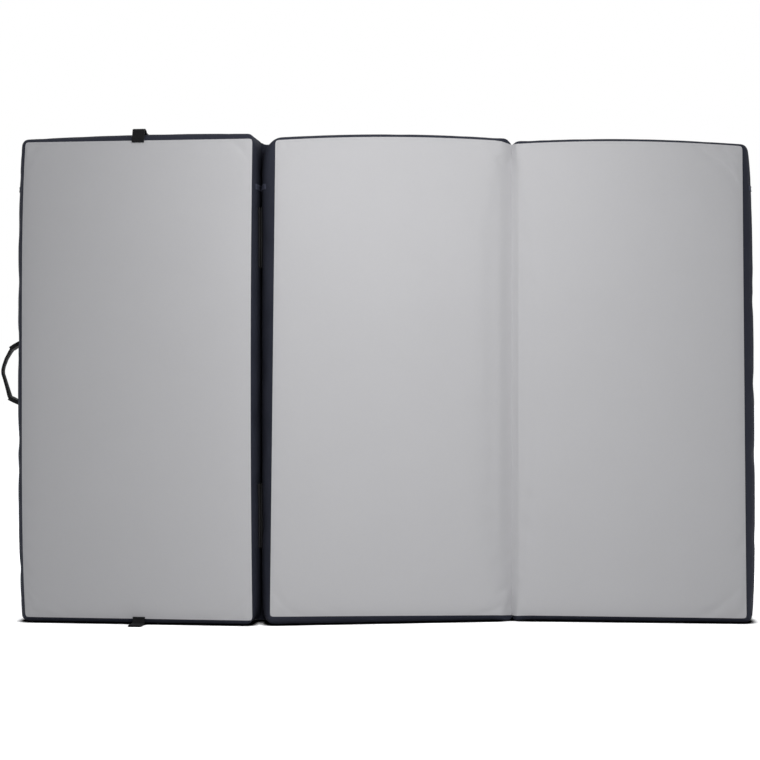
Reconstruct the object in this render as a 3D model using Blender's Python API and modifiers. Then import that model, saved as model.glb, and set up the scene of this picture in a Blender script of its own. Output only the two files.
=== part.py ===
"""A folding bouldering crash pad: three padded panels standing open on their long edge.

The landing faces look along -Y, +X runs along the pad and +Z is up. The origin lies under the middle of
the middle panel, on the floor. The left panel folds backwards on the base cloth and the right panel folds
forwards on the landing cloth, so the pad folds like a Z. The carrying harness lies on the right panel's
back, which is outermost when the pad is folded.
"""

import math

import bmesh
import bpy
from mathutils import Vector

# The pad's size, in metres
HEIGHT = 1.000
LEFT_WIDTH = 0.500
MIDDLE_WIDTH = 0.511
RIGHT_WIDTH = 0.493
EDGE_THICKNESS = 0.090
LANDING_CROWN = 0.007
BASE_CROWN = 0.005
# How the panels stand, in degrees about +Z
LEFT_YAW = -6.5
MIDDLE_YAW = 7.5
RIGHT_YAW = -4.5
# The cover
CLOTH = 0.0015
GAP = 0.0004
HINGE_SET_BACK = 0.003
FOLD_GAP = 0.0015
JOIN_DROP = 0.104
FRONT_ROUND = 0.022
BACK_ROUND = 0.018
CORNER_RADIUS = 0.018
SEAM_RADIUS = 0.008
CORNER_ZONE = 0.040
CREASE_DIP = 0.008
LAP_EASE = 0.0012
CROWN_POWER = 3.0
COLUMNS = 9
UPRIGHT_CELLS = 7
TOP_CELLS = 1
# How far each landing seam lies in from the outline
LEFT_INSETS = {"left": 0.0135, "right": 0.004, "bottom": 0.012, "top": 0.013}
MIDDLE_INSETS = {"left": 0.012, "bottom": 0.011, "top": 0.0075}
RIGHT_INSETS = {"right": 0.0225, "bottom": 0.010, "top": 0.0065}
BASE_INSET = 0.013
# How the sewn outline strays from a rectangle: the ends bow out, and each top edge is lifted at its
# middle, rises to the right and droops towards both ends
END_BOW = 0.005
LEFT_TOP = {"lift": 0.0015, "rise": 0.0025, "droop": 0.0045}
MIDDLE_TOP = {"lift": 0.003, "rise": 0.004, "droop": 0.009}
RIGHT_TOP = {"lift": -0.0045, "rise": -0.006, "droop": 0.0085}
# The foam
FIRM_FOAM = 0.025
FOAM_EASE = 0.0025
FOAM_COLUMNS = 5
FOAM_ROWS = 7
FOAM_CORNER = 0.7
# Webbing
WEBBING = 0.025
BELT_WEBBING = 0.038
WEBBING_THICKNESS = 0.0014
# Closure strips on the walls of the first hinge
STRIP_LENGTH = 0.130
STRIP_WIDTH = 0.038
STRIP_THICKNESS = 0.002
STRIP_RISE = 0.285
STRIP_DEPTH = 0.010
# The side handle
HANDLE_HEIGHT = 0.512
HANDLE_SPAN = 0.118
HANDLE_REACH = 0.036
HANDLE_THICKNESS = 0.005
HANDLE_WIDTH = 0.028
HANDLE_PIVOT = 0.012
HANDLE_TUCK = 0.003
HANDLE_STEPS = 10
HANDLE_POWER = 1.6
ANCHOR_THICKNESS = 0.004
ANCHOR_LENGTH = 0.018
# The closure tabs
TAB_RISE = 0.010
TAB_REACH = 0.038
TAB_THICKNESS = 0.003
TAB_TAIL = 0.004
# The zips
ZIP_LENGTH = 0.360
ZIP_HEIGHT = 0.060
ZIP_TAPE = 0.028
ZIP_TAPE_THICKNESS = 0.0009
COIL_WIDTH = 0.006
COIL_HEIGHT = 0.0024
SLIDER_LENGTH = 0.013
SLIDER_WIDTH = 0.0105
SLIDER_WALL = 0.0011
PULL_LENGTH = 0.022
PULL_THICKNESS = 0.0012
PULL_WIDTH = 0.0062
PULL_RISE = 0.004
PULL_SINK = 0.3
PULL_EYE_WIDTH = 0.0026
PULL_EYE_LENGTH = 0.007
# The harness on the right panel's back
YOKE_WIDTH = 0.270
YOKE_HEIGHT = 0.100
YOKE_DROP = 0.190
STRAP_SPREAD = 0.180
STRAP_WIDTH = 0.064
STRAP_THICKNESS = 0.013
STRAP_EDGE = 0.004
STRAP_TUCK = 0.065
STRAP_LENGTH = 0.290
STRAP_TAPER = 0.35
STRAP_SWEEP = 0.012
WEB_TAIL = 0.085
WEB_RETURN = 0.030
LOCK_WIDTH = 0.034
LOCK_BAR = 0.0050
LOCK_SLOT = 0.0072
LOCK_THICKNESS = 0.0044
LOCK_DROP = 0.032
ANCHOR_HEIGHT = 0.335
PATCH_SIDE = 0.060
PATCH_THICKNESS = 0.0016
PATCH_CLEAR = 0.004
SEWN_END = 0.012
BELT_HEIGHT = 0.275
BELT_EDGE = 0.060
SOCKET_LENGTH = 0.046
SOCKET_WIDTH = 0.052
SOCKET_THICKNESS = 0.0125
SOCKET_BEVEL = 0.0022
TONGUE_BASE = 0.017
TONGUE_ARM = 0.0065
TONGUE_GUIDE = 0.0030
BELT_RETURN = 0.034
BUCKLE_BAR = 0.0034
BUCKLE_SLOT = 0.0064
BAR_THICKNESS = 0.0040
BUCKLE_WALL = 0.0030
# The closure straps and their hooks
CLOSURE_TUCK = 0.048
CLOSURE_DROP = 0.300
CLOSURE_BOTTOM = 0.105
CLOSURE_FOLD = 0.105
FOLD_RADIUS = 0.0018
STRAP_RETURN = 0.040
HOOK_WIRE = 0.0022
HOOK_EYE = 0.0150
HOOK_SHANK = 0.024
HOOK_RADIUS = 0.0075
HOOK_EYE_ROOM = 0.0016
HOOK_TURN = 1.12
HOOK_STEPS = 7

HALF = EDGE_THICKNESS / 2
HINGE_1_Y = HALF + FOLD_GAP
HINGE_2_Y = -(HALF + FOLD_GAP)
YOKE_MIDDLE = HEIGHT - YOKE_DROP
STRAP_TOP = YOKE_MIDDLE - STRAP_TUCK
CLOSURE_TOP = HEIGHT - CLOSURE_TUCK
ARC_PULL = 1 - 1 / math.sqrt(2)
ROWS = UPRIGHT_CELLS + TOP_CELLS + 4
JOIN_ROW = UPRIGHT_CELLS + 2


def srgb(red, green, blue):
    """The linear colour of a screen colour given from 0 to 255."""
    return [((c / 255 + 0.055) / 1.055) ** 2.4 for c in (red, green, blue)] + [1.0]


FINISHES = {
    "landing_cloth": (srgb(172, 173, 176), 0.85, 0.0),
    "side_cloth": (srgb(56, 59, 73), 0.85, 0.0),
    "base_cloth": (srgb(44, 46, 56), 0.9, 0.0),
    "firm_foam": (srgb(70, 72, 76), 0.95, 0.0),
    "soft_foam": (srgb(214, 208, 178), 0.98, 0.0),
    "webbing": (srgb(30, 30, 32), 0.8, 0.0),
    "closure_strip": (srgb(22, 22, 24), 0.95, 0.0),
    "strap_pad": (srgb(36, 37, 42), 0.9, 0.0),
    "buckle_plastic": (srgb(24, 24, 26), 0.45, 0.0),
    "zip_coil": (srgb(28, 28, 31), 0.6, 0.0),
    "metal": (srgb(150, 152, 156), 0.35, 1.0),
}
materials = {}
collections = {}
frames = {}


def clear_scene():
    for thing in list(bpy.data.objects):
        bpy.data.objects.remove(thing, do_unlink=True)


def make_collections():
    for key, name in (("parts", "bouldering_crash_pad"), ("cutters", "cutters")):
        collections[key] = bpy.data.collections.new(name)
        bpy.context.scene.collection.children.link(collections[key])


def make_materials():
    for name, (colour, roughness, metallic) in FINISHES.items():
        material = bpy.data.materials.new(name)
        material.use_nodes = True
        shader = material.node_tree.nodes["Principled BSDF"]
        shader.inputs["Base Color"].default_value = colour
        shader.inputs["Roughness"].default_value = roughness
        shader.inputs["Metallic"].default_value = metallic
        materials[name] = material


def make_frame(name, parent, place, yaw):
    """An empty on a joint's axis, turned as its body stands."""
    empty = bpy.data.objects.new(name, None)
    empty.empty_display_size = 0.05
    empty.parent = parent
    empty.location = place
    empty.rotation_euler = (0, 0, math.radians(yaw))
    collections["parts"].objects.link(empty)
    frames[name] = empty
    return empty


class Carrier:
    """What a part rides on: an empty, and where the part's own zero lies from it."""

    def __init__(self, frame, shift=(0, 0, 0)):
        self.frame = frame
        self.shift = Vector(shift)


class Panel(Carrier):
    """One padded panel. Its own x runs from low to high, y = 0 is its mid plane and z = 0 the floor."""

    def __init__(self, name, low, high, insets, laps, top, frame, shift):
        super().__init__(frame, shift)
        self.name = name
        self.low = low
        self.high = high
        self.insets = insets
        self.front_lap = laps[0]
        self.back_lap = laps[1]
        self.top = top
        self.hinge_sides = [side for side in laps if side]
        self.middle = (low + high) / 2

    def set_back(self, side):
        """How far the wall stands in from the panel's edge line: at a hinge it leaves room for its pair."""
        return HINGE_SET_BACK if side in self.hinge_sides else 0.0

    def level(self, kind, side):
        """How far in a line of the cover lies: the landing seam, the wall or the base seam."""
        lap = {"front": self.front_lap, "back": self.back_lap}.get(kind)
        if kind == "wall" or side == lap:
            return self.set_back(side)
        if kind == "front":
            return self.insets[side] + self.set_back(side)
        return BASE_INSET + self.set_back(side)

    def point(self, kind, i, j, inner=0.0, to_hinge=False):
        """Where grid corner (i, j) of the cover lies in x and z at a level, moved in by inner."""
        inset = {side: self.level(kind, side) + inner for side in ("left", "right", "bottom", "top")}
        lap = {"front": self.front_lap, "back": self.back_lap}.get(kind)
        if to_hinge and lap:
            inset[lap] = GAP / 2
        radius = CORNER_RADIUS if kind == "wall" else SEAM_RADIUS
        low, high = self.low + inset["left"], self.high - inset["right"]
        zone_low, zone_high = self.low + CORNER_ZONE, self.high - CORNER_ZONE
        cells = COLUMNS - 4
        across = [low, low + radius]
        across += [zone_low + (zone_high - zone_low) * k / cells for k in range(cells + 1)]
        across += [high - radius, high]
        join = HEIGHT - JOIN_DROP
        upright = [inset["bottom"], inset["bottom"] + radius]
        upright += [CORNER_ZONE + (join - CORNER_ZONE) * k / UPRIGHT_CELLS for k in range(UPRIGHT_CELLS + 1)]
        upright += [join + (HEIGHT - CORNER_ZONE - join) * k / TOP_CELLS for k in range(1, TOP_CELLS + 1)]
        upright += [HEIGHT - inset["top"] - radius, HEIGHT - inset["top"]]
        x, z = across[i], upright[j]
        if j not in (0, ROWS):
            return self.bowed(x, z)
        inward = 1 if j == 0 else -1
        pull = radius * ARC_PULL
        if lap == ("left" if i < 2 else "right") and i in (0, 1, COLUMNS - 1, COLUMNS):
            near = CREASE_DIP * (1 - radius / CORNER_ZONE) ** 2
            share = 1.0 if i in (1, COLUMNS - 1) else (inset[lap] - GAP / 2) / radius
            z += inward * (near * share + (CREASE_DIP + pull) * (1 - share))
            if not to_hinge:
                z -= inward * LAP_EASE
            if share == 1.0:
                x = self.low + GAP / 2 + radius if i == 1 else self.high - GAP / 2 - radius
        elif i in (0, COLUMNS):
            z += inward * pull
            x += pull if i == 0 else -pull
        return self.bowed(x, z)

    def bowed(self, x, z):
        """A point on the sewn outline, whose ends bow and whose top edge isn't straight."""
        a = (2 * x - self.low - self.high) / (self.high - self.low)
        c = 2 * z / HEIGHT - 1
        z += (self.top["lift"] + self.top["rise"] * a - self.top["droop"] * a * a) * z / HEIGHT
        if "left" not in self.hinge_sides and a < 0:
            x += END_BOW * c * c * -a
        if "right" not in self.hinge_sides and a > 0:
            x -= END_BOW * c * c * a
        return x, z

    def crown(self, height, x, z):
        """How far a face swells out at a place on it."""
        u = (x - self.middle) / ((self.high - self.low) / 2 - CORNER_ZONE / 2)
        w = (2 * z - HEIGHT) / (HEIGHT - CORNER_ZONE)
        swell = max(0.0, 1 - abs(u) ** CROWN_POWER) * max(0.0, 1 - abs(w) ** CROWN_POWER)
        return height * swell

    def front_y(self, x, z):
        return -HALF - self.crown(LANDING_CROWN, x, z)

    def back_y(self, x, z):
        return HALF + self.crown(BASE_CROWN, x, z)


def add_part(name, mesh, finish, frame, shift=(0, 0, 0), smooth=35):
    """A named object in the parts' collection, carried by an empty."""
    part = bpy.data.objects.new(name, mesh)
    mesh.materials.clear()
    mesh.materials.append(materials[finish])
    mesh.shade_smooth()
    mesh.set_sharp_from_angle(angle=math.radians(smooth))
    part.parent = frame
    part.location = shift
    collections["parts"].objects.link(part)
    return part


def add_grid(bm, columns, rows, place):
    """A grid of columns x rows cells with each corner where place(i, j) says."""
    made = bmesh.ops.create_grid(bm, x_segments=columns, y_segments=rows, size=1)["verts"]
    for vert in made:
        i = round((vert.co.x + 1) / 2 * columns)
        j = round((vert.co.y + 1) / 2 * rows)
        vert.co = place(i, j)
    return made


def face_out(bm, middle):
    """Turn an open sheet so that its faces look away from a point."""
    bm.normal_update()
    out = sum(face.normal.dot(face.calc_center_median() - middle) * face.calc_area() for face in bm.faces)
    if out < 0:
        bmesh.ops.reverse_faces(bm, faces=bm.faces)


def finish_mesh(bm, name):
    mesh = bpy.data.meshes.new(name)
    bm.to_mesh(mesh)
    bm.free()
    return mesh


def thicken(part, thickness, offset=-1.0):
    solid = part.modifiers.new("wall", "SOLIDIFY")
    solid.thickness = thickness
    solid.offset = offset
    solid.use_even_offset = True
    solid.use_quality_normals = True
    return part


def closed_block(name, columns, rows, front, back, rings=()):
    """A closed form between two grids of the same corners, with rings of points round its sides."""
    bm = bmesh.new()
    add_grid(bm, columns, rows, front)
    add_grid(bm, columns, rows, back)
    round_trip = border(columns, rows)
    loops = [[front(i, j) for i, j in round_trip]]
    loops += [[ring(i, j) for i, j in round_trip] for ring in rings]
    loops += [[back(i, j) for i, j in round_trip]]
    count = len(round_trip)
    add_grid(bm, count, len(loops) - 1, lambda i, j: loops[j][i % count])
    bmesh.ops.remove_doubles(bm, verts=bm.verts, dist=0.00001)
    bmesh.ops.recalc_face_normals(bm, faces=bm.faces)
    return finish_mesh(bm, name)


def border(columns, rows):
    """The grid corners round the border, from the lower left one up the left side and on clockwise."""
    trip = [(0, j) for j in range(rows)]
    trip += [(i, rows) for i in range(columns)]
    trip += [(columns, rows - j) for j in range(rows)]
    trip += [(columns - i, 0) for i in range(columns)]
    return trip


def cover_sheet(panel, kind, name, finish):
    """The landing or base cloth of a panel, crowned, with its edge at the seam or on the hinge line."""

    def place(i, j):
        x, z = panel.point(kind, i, j, GAP, to_hinge=True)
        inside = 0 < i < COLUMNS and 0 < j < ROWS
        if kind == "front":
            return Vector((x, panel.front_y(x, z) if inside else -HALF, z))
        return Vector((x, panel.back_y(x, z) if inside else HALF, z))

    bm = bmesh.new()
    add_grid(bm, COLUMNS, ROWS, place)
    face_out(bm, Vector((panel.middle, 0, HEIGHT / 2)))
    part = add_part(name, finish_mesh(bm, name), finish, panel.frame, panel.shift)
    return thicken(part, CLOTH)


def band_section(panel, i, j):
    """The points across the side band at one station, from the landing seam to the base seam."""
    wall = Vector((*panel.point("wall", i, j), 0)).xzy
    points = []
    for kind, sign, rounding in (("front", -1, FRONT_ROUND), ("back", 1, BACK_ROUND)):
        lap = panel.front_lap if kind == "front" else panel.back_lap
        on_lap = (i == 0 and lap == "left") or (i == COLUMNS and lap == "right")
        seam = Vector((*panel.point(kind, i, j), 0)).xzy
        if on_lap:
            start = CLOTH + GAP * 2
            shares = [1.0, 0.66, 0.33, 0.0]
            depths = [start, start + (rounding - start) * 0.33, start + (rounding - start) * 0.66, rounding]
        else:
            shares = [1.0, 0.72, ARC_PULL, 0.0]
            depths = [0.0, 0.0, rounding * ARC_PULL, rounding]
        half = []
        for share, depth in zip(shares, depths):
            spot = wall.lerp(seam, share)
            half.append(Vector((spot.x, sign * (HALF - depth), spot.z)))
        points += half if kind == "front" else half[::-1]
    return points


def side_band(panel, upper, name):
    """Half of the side cloth: the upper piece turns both top corners, the lower one goes round the rest."""
    trip = border(COLUMNS, ROWS)
    first = trip.index((0, JOIN_ROW))
    last = trip.index((COLUMNS, JOIN_ROW))
    stations = trip[first : last + 1] if upper else trip[last:] + trip[: first + 1]
    sections = [band_section(panel, i, j) for i, j in stations]
    lift = Vector((0, 0, GAP / 2 if upper else -GAP / 2))
    for end in (0, -1):
        sections[end] = [spot + lift for spot in sections[end]]
    bm = bmesh.new()
    add_grid(bm, len(sections) - 1, len(sections[0]) - 1, lambda i, j: sections[i][j])
    face_out(bm, Vector((panel.middle, 0, HEIGHT / 2)))
    part = add_part(name, finish_mesh(bm, name), "side_cloth", panel.frame, panel.shift)
    return thicken(part, CLOTH)


def foam_layer(panel, name, finish, firm):
    """A block of foam inside the cover: the firm sheet under the landing face, or the soft core behind it."""
    skin = CLOTH + GAP * 2

    def spot(kind, i, j, inner):
        inset = {side: panel.level(kind, side) + inner for side in ("left", "right", "bottom", "top")}
        x = panel.low + inset["left"]
        x += (panel.high - inset["right"] - x) * i / FOAM_COLUMNS
        z = inset["bottom"] + (HEIGHT - inset["top"] - inset["bottom"]) * j / FOAM_ROWS
        if i in (0, FOAM_COLUMNS) and j in (0, FOAM_ROWS):
            pull = CORNER_RADIUS * FOAM_CORNER
            x += pull if i == 0 else -pull
            z += pull if j == 0 else -pull
        return panel.bowed(x, z)

    def front_skin(i, j):
        x, z = spot("front", i, j, FOAM_EASE + CLOTH)
        edge = i in (0, FOAM_COLUMNS) or j in (0, FOAM_ROWS)
        y = -HALF if edge else panel.front_y(x, z)
        return Vector((x, y + skin, z))

    def seat(i, j, behind=0.0):
        x, z = spot("wall", i, j, FOAM_EASE + CLOTH)
        edge = i in (0, FOAM_COLUMNS) or j in (0, FOAM_ROWS)
        y = -HALF if edge else panel.front_y(x, z)
        return Vector((x, y + skin + FIRM_FOAM + behind, z))

    def back_skin(i, j):
        x, z = spot("back", i, j, FOAM_EASE + CLOTH)
        edge = i in (0, FOAM_COLUMNS) or j in (0, FOAM_ROWS)
        y = HALF if edge else panel.back_y(x, z)
        return Vector((x, y - skin, z))

    def shoulder(i, j):
        x, z = spot("wall", i, j, FOAM_EASE + CLOTH)
        return Vector((x, HALF - BACK_ROUND, z))

    def core_front(i, j):
        return seat(i, j, GAP)

    if firm:
        mesh = closed_block(name, FOAM_COLUMNS, FOAM_ROWS, front_skin, seat)
    else:
        mesh = closed_block(name, FOAM_COLUMNS, FOAM_ROWS, core_front, back_skin, (shoulder,))
    return add_part(name, mesh, finish, panel.frame, panel.shift)


def make_panel(panel):
    cover_sheet(panel, "front", panel.name + "_landing_sheet", "landing_cloth")
    cover_sheet(panel, "back", panel.name + "_base_sheet", "base_cloth")
    side_band(panel, True, panel.name + "_upper_band")
    side_band(panel, False, panel.name + "_lower_band")
    foam_layer(panel, panel.name + "_firm_foam", "firm_foam", True)
    foam_layer(panel, panel.name + "_soft_core", "soft_foam", False)


def ribbon(name, path, width, thickness, across, finish, panel):
    """Flat webbing of an even thickness, centred on a path."""
    path = [Vector(spot) for spot in path]
    side = Vector(across).normalized() * width / 2
    bm = bmesh.new()
    add_grid(bm, len(path) - 1, 1, lambda i, j: path[i] + side * (2 * j - 1))
    part = add_part(name, finish_mesh(bm, name), finish, panel.frame, panel.shift)
    return thicken(part, thickness, 0.0)


def box_part(name, size, middle, finish, panel, bevel=0.0):
    """A block made of the cube primitive, with its edges rounded."""
    bm = bmesh.new()
    bmesh.ops.create_cube(bm, size=1)
    bmesh.ops.scale(bm, vec=size, verts=bm.verts)
    bmesh.ops.translate(bm, vec=middle, verts=bm.verts)
    part = add_part(name, finish_mesh(bm, name), finish, panel.frame, panel.shift)
    if bevel:
        round_edges(part, bevel)
    return part


def round_edges(part, width, segments=2):
    edge = part.modifiers.new("rounded edges", "BEVEL")
    edge.width = width
    edge.segments = segments
    edge.limit_method = "ANGLE"
    edge.angle_limit = math.radians(40)


def cutter(size, middle, panel, name):
    tool = box_part(name, size, middle, "metal", panel)
    collections["parts"].objects.unlink(tool)
    collections["cutters"].objects.link(tool)
    tool.hide_render = True
    tool.display_type = "WIRE"
    return tool


def join_or_cut(part, tool, operation):
    step = part.modifiers.new(operation.lower(), "BOOLEAN")
    step.operation = operation
    step.solver = "EXACT"
    step.object = tool


def closure_strips(panel, side):
    """Two hook and loop strips on a panel's wall at the first hinge, each facing its pair."""
    wall = panel.high - HINGE_SET_BACK if side == "right" else panel.low + HINGE_SET_BACK
    out = 1 if side == "right" else -1
    x = wall + out * (STRIP_THICKNESS / 2 + GAP)
    for word, sign in (("upper", 1), ("lower", -1)):
        middle = (x, STRIP_DEPTH, HEIGHT / 2 + sign * STRIP_RISE)
        name = f"{panel.name}_{word}_closure_strip"
        size = (STRIP_THICKNESS, STRIP_WIDTH, STRIP_LENGTH)
        box_part(name, size, middle, "closure_strip", panel)


def side_handle(panel):
    """The webbing grip on the left end: two sewn anchors, and a bowed strap that swings on them."""
    wall = panel.low
    half = HANDLE_SPAN / 2
    for word, sign in (("upper", 1), ("lower", -1)):
        z = HANDLE_HEIGHT + sign * (half + HANDLE_THICKNESS / 2 + GAP + ANCHOR_THICKNESS / 2)
        middle = (wall - GAP - ANCHOR_LENGTH / 2, 0, z)
        size = (ANCHOR_LENGTH, HANDLE_WIDTH, ANCHOR_THICKNESS)
        box_part(f"handle_{word}_anchor", size, middle, "webbing", panel, 0.001)
    place = (wall - HANDLE_PIVOT, panel.shift.y, HANDLE_HEIGHT)
    pivot = make_frame("handle_swing_axis", panel.frame, place, 0)
    straight = ANCHOR_LENGTH + HANDLE_THICKNESS / 2 + GAP * 2 - HANDLE_PIVOT
    swell = HANDLE_REACH - HANDLE_PIVOT - HANDLE_THICKNESS / 2 - straight
    path = [(HANDLE_TUCK, 0, half), (-straight * 0.6, 0, half), (-straight, 0, half)]
    for k in range(1, HANDLE_STEPS):
        share = math.cos(math.pi * k / HANDLE_STEPS)
        path.append((-straight - swell * (1 - abs(share) ** HANDLE_POWER), 0, half * share))
    path += [(-straight, 0, -half), (-straight * 0.6, 0, -half), (HANDLE_TUCK, 0, -half)]
    ribbon("side_handle", path, HANDLE_WIDTH, HANDLE_THICKNESS, (0, 1, 0), "webbing", Carrier(pivot))


def closure_tabs(panel):
    """The webbing loop at the middle of the top edge, and its pair that lies forward on the floor."""
    x = panel.middle
    top = HEIGHT + panel.top["lift"]
    seam = top - panel.insets["top"]
    lift = TAB_THICKNESS / 2 + GAP
    front = -HALF - lift
    crest = top + TAB_RISE - TAB_THICKNESS / 2
    loop = [
        (x, front, seam - TAB_TAIL),
        (x, front, seam + TAB_TAIL),
        (x, front + TAB_TAIL, (seam + crest) / 2),
        (x, -HALF + TAB_TAIL, crest - TAB_TAIL / 2),
        (x, -HALF + TAB_TAIL * 2.2, crest),
        (x, -HALF + TAB_TAIL * 4.2, crest - TAB_THICKNESS / 2),
        (x, -HALF + TAB_TAIL * 6, top + lift + TAB_THICKNESS / 2),
        (x, -HALF + TAB_TAIL * 8, top + lift),
        (x, -HALF + TAB_TAIL * 11, top + lift),
    ]
    ribbon("closure_tab_top", loop, WEBBING, TAB_THICKNESS, (1, 0, 0), "webbing", panel)
    seam = panel.insets["bottom"]
    flap = [
        (x, front, seam + TAB_TAIL),
        (x, front - GAP, seam - TAB_TAIL),
        (x, front - TAB_TAIL, lift + GAP * 2),
        (x, front - TAB_TAIL * 3, lift),
        (x, front - TAB_REACH, lift),
    ]
    ribbon("closure_tab_bottom", flap, WEBBING, TAB_THICKNESS, (1, 0, 0), "webbing", panel)


def base_zip(panel):
    """The zip low on a panel's back, through which the foam goes in, with its slider at one end."""
    middle = panel.middle
    start = middle - ZIP_LENGTH / 2
    cells = 6
    heights = [0.0, 0.0, COIL_HEIGHT, COIL_HEIGHT, 0.0, 0.0]
    half_coil = COIL_WIDTH / 2
    half_top = half_coil * 0.7
    across = [-ZIP_TAPE / 2, -half_coil, -half_top, half_top, half_coil, ZIP_TAPE / 2]

    def under(i, j):
        x = start + ZIP_LENGTH * i / cells
        z = ZIP_HEIGHT + across[j]
        return Vector((x, panel.back_y(x, ZIP_HEIGHT + ZIP_TAPE / 2) + GAP, z))

    def over(i, j):
        return under(i, j) + Vector((0, ZIP_TAPE_THICKNESS + heights[j], 0))

    name = panel.name + "_zip"
    mesh = closed_block(name, cells, len(across) - 1, over, under)
    add_part(name, mesh, "zip_coil", panel.frame, panel.shift)
    zip_slider(panel, start + SLIDER_LENGTH)


def zip_slider(panel, x):
    """A moulded slider that straddles the coil, with its bridge and hanging pull."""
    tape_top = panel.back_y(panel.middle, ZIP_HEIGHT + ZIP_TAPE / 2) + GAP + ZIP_TAPE_THICKNESS
    body_height = COIL_HEIGHT + GAP * 2 + SLIDER_WALL
    y = tape_top + GAP + body_height / 2
    moving = Carrier(make_frame(panel.name + "_slider_axis", panel.frame, (x, panel.shift.y, ZIP_HEIGHT), 0))
    size = (SLIDER_LENGTH, body_height, SLIDER_WIDTH)
    name = panel.name + "_zip_slider"
    slider = box_part(name, size, (0, y, 0), "metal", moving)
    channel = (SLIDER_LENGTH * 2, COIL_HEIGHT + GAP * 2, COIL_WIDTH + GAP * 3)
    waist = cutter(channel, (0, tape_top + COIL_HEIGHT / 2 - GAP / 2, 0), moving, name + "_channel")
    join_or_cut(slider, waist, "DIFFERENCE")
    top = y + body_height / 2
    pull_y = top + PULL_THICKNESS * PULL_SINK
    plate = (PULL_WIDTH, PULL_THICKNESS, PULL_LENGTH)
    pull = cutter(plate, (0, pull_y, PULL_RISE - PULL_LENGTH / 2), moving, name + "_pull")
    join_or_cut(slider, pull, "UNION")
    hole = (PULL_EYE_WIDTH, PULL_THICKNESS * 8, PULL_EYE_LENGTH)
    eye = cutter(hole, (0, pull_y, PULL_RISE - PULL_LENGTH + PULL_EYE_LENGTH), moving, name + "_pull_eye")
    join_or_cut(slider, eye, "DIFFERENCE")


def wrap(front_end, back_end, bar, radius, axis, out, steps=4):
    """Points from one side of a bar round it and back, in the plane of axis and out."""
    axis, out, bar = Vector(axis), Vector(out), Vector(bar)
    arc = []
    for k in range(steps + 1):
        turn = math.pi * k / steps
        arc.append(bar + out * radius * math.cos(turn) + axis * radius * math.sin(turn))
    return [Vector(front_end)] + arc + [Vector(back_end)]


def wrap_radius(long, thick):
    """The radius at which webbing, bent in flats, clears a bar of two sizes."""
    return (math.hypot(long, thick) / 2 + GAP + WEBBING_THICKNESS / 2) / math.cos(math.pi / 8)


def shoulder_set(panel, word, sign):
    """One shoulder strap: the pad, its webbing loop, the ladder lock and the adjusting webbing."""
    x = panel.middle + sign * STRAP_SPREAD / 2
    columns, rows = 2, 9
    bottom = STRAP_TOP - STRAP_LENGTH

    def inner(i, j):
        z = bottom + STRAP_LENGTH * j / rows
        taper = 1 - STRAP_TAPER * max(0.0, 1 - j / 2)
        cx = x + sign * STRAP_SWEEP * math.sin(math.pi * j / rows)
        px = cx + (i / columns - 0.5) * STRAP_WIDTH * taper
        return Vector((px, panel.back_y(cx, z) + GAP + PATCH_THICKNESS, z))

    def outer(i, j):
        edge = i in (0, columns) or j in (0, rows)
        return inner(i, j) + Vector((0, STRAP_EDGE if edge else STRAP_THICKNESS, 0))

    name = f"shoulder_strap_{word}"
    add_part(name, closed_block(name, columns, rows, outer, inner), "strap_pad", panel.frame, panel.shift, 60)
    lock_z = bottom - LOCK_DROP
    surface = panel.back_y(x, bottom)
    turn = wrap_radius(LOCK_BAR, LOCK_THICKNESS)
    lift = surface + GAP + WEBBING_THICKNESS / 2 + turn
    ladder_lock(panel, word, x, lift, lock_z)
    pitch = LOCK_BAR + LOCK_SLOT
    up, down, out = Vector((0, 0, 1)), Vector((0, 0, -1)), Vector((0, 1, 0))
    top_bar = Vector((x, lift, lock_z + pitch))
    end = bottom - GAP * 2
    loop = wrap((x, lift + turn, end), (x, lift - turn, end), top_bar, turn, down, out)
    ribbon(f"lock_loop_{word}", loop, WEBBING, WEBBING_THICKNESS, (1, 0, 0), "webbing", panel)
    middle_bar = Vector((x, lift, lock_z))
    base = panel.back_y(x, ANCHOR_HEIGHT) + GAP * 2 + PATCH_THICKNESS + WEBBING_THICKNESS / 2
    tail = (x, lift + turn, lock_z - WEB_TAIL)
    web = wrap((x, lift - turn, lock_z - WEB_RETURN), tail, middle_bar, turn, up, -out)
    sewn = [ANCHOR_HEIGHT - SEWN_END, ANCHOR_HEIGHT + PATCH_SIDE / 2 + PATCH_CLEAR]
    web = [Vector((x, base, z)) for z in sewn] + web
    ribbon(f"adjusting_webbing_{word}", web, WEBBING, WEBBING_THICKNESS, (1, 0, 0), "webbing", panel)
    cloth_patch(panel, f"anchor_patch_{word}", x, ANCHOR_HEIGHT)


def cloth_patch(panel, name, x, z, width=PATCH_SIDE, height=PATCH_SIDE, columns=2, rows=2):
    """A reinforcing cloth sewn on the crowned base sheet."""

    def under(i, j):
        px = x + (i / columns - 0.5) * width
        pz = z + (j / rows - 0.5) * height
        return Vector((px, panel.back_y(px, pz) + GAP, pz))

    def over(i, j):
        return under(i, j) + Vector((0, PATCH_THICKNESS, 0))

    mesh = closed_block(name, columns, rows, over, under)
    add_part(name, mesh, "base_cloth", panel.frame, panel.shift)


def ladder_lock(panel, word, x, y, z):
    """A moulded buckle with three bars and two slots."""
    tall = 3 * LOCK_BAR + 2 * LOCK_SLOT
    name = f"ladder_lock_{word}"
    lock = box_part(name, (LOCK_WIDTH, LOCK_THICKNESS, tall), (x, y, z), "buckle_plastic", panel, 0.0012)
    pitch = LOCK_BAR + LOCK_SLOT
    for slot, sign in (("upper", 1), ("lower", -1)):
        middle = (x, y, z + sign * pitch / 2)
        size = (WEBBING + GAP * 4, LOCK_THICKNESS * 3, LOCK_SLOT)
        join_or_cut(lock, cutter(size, middle, panel, f"{name}_{slot}_slot"), "DIFFERENCE")


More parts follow.
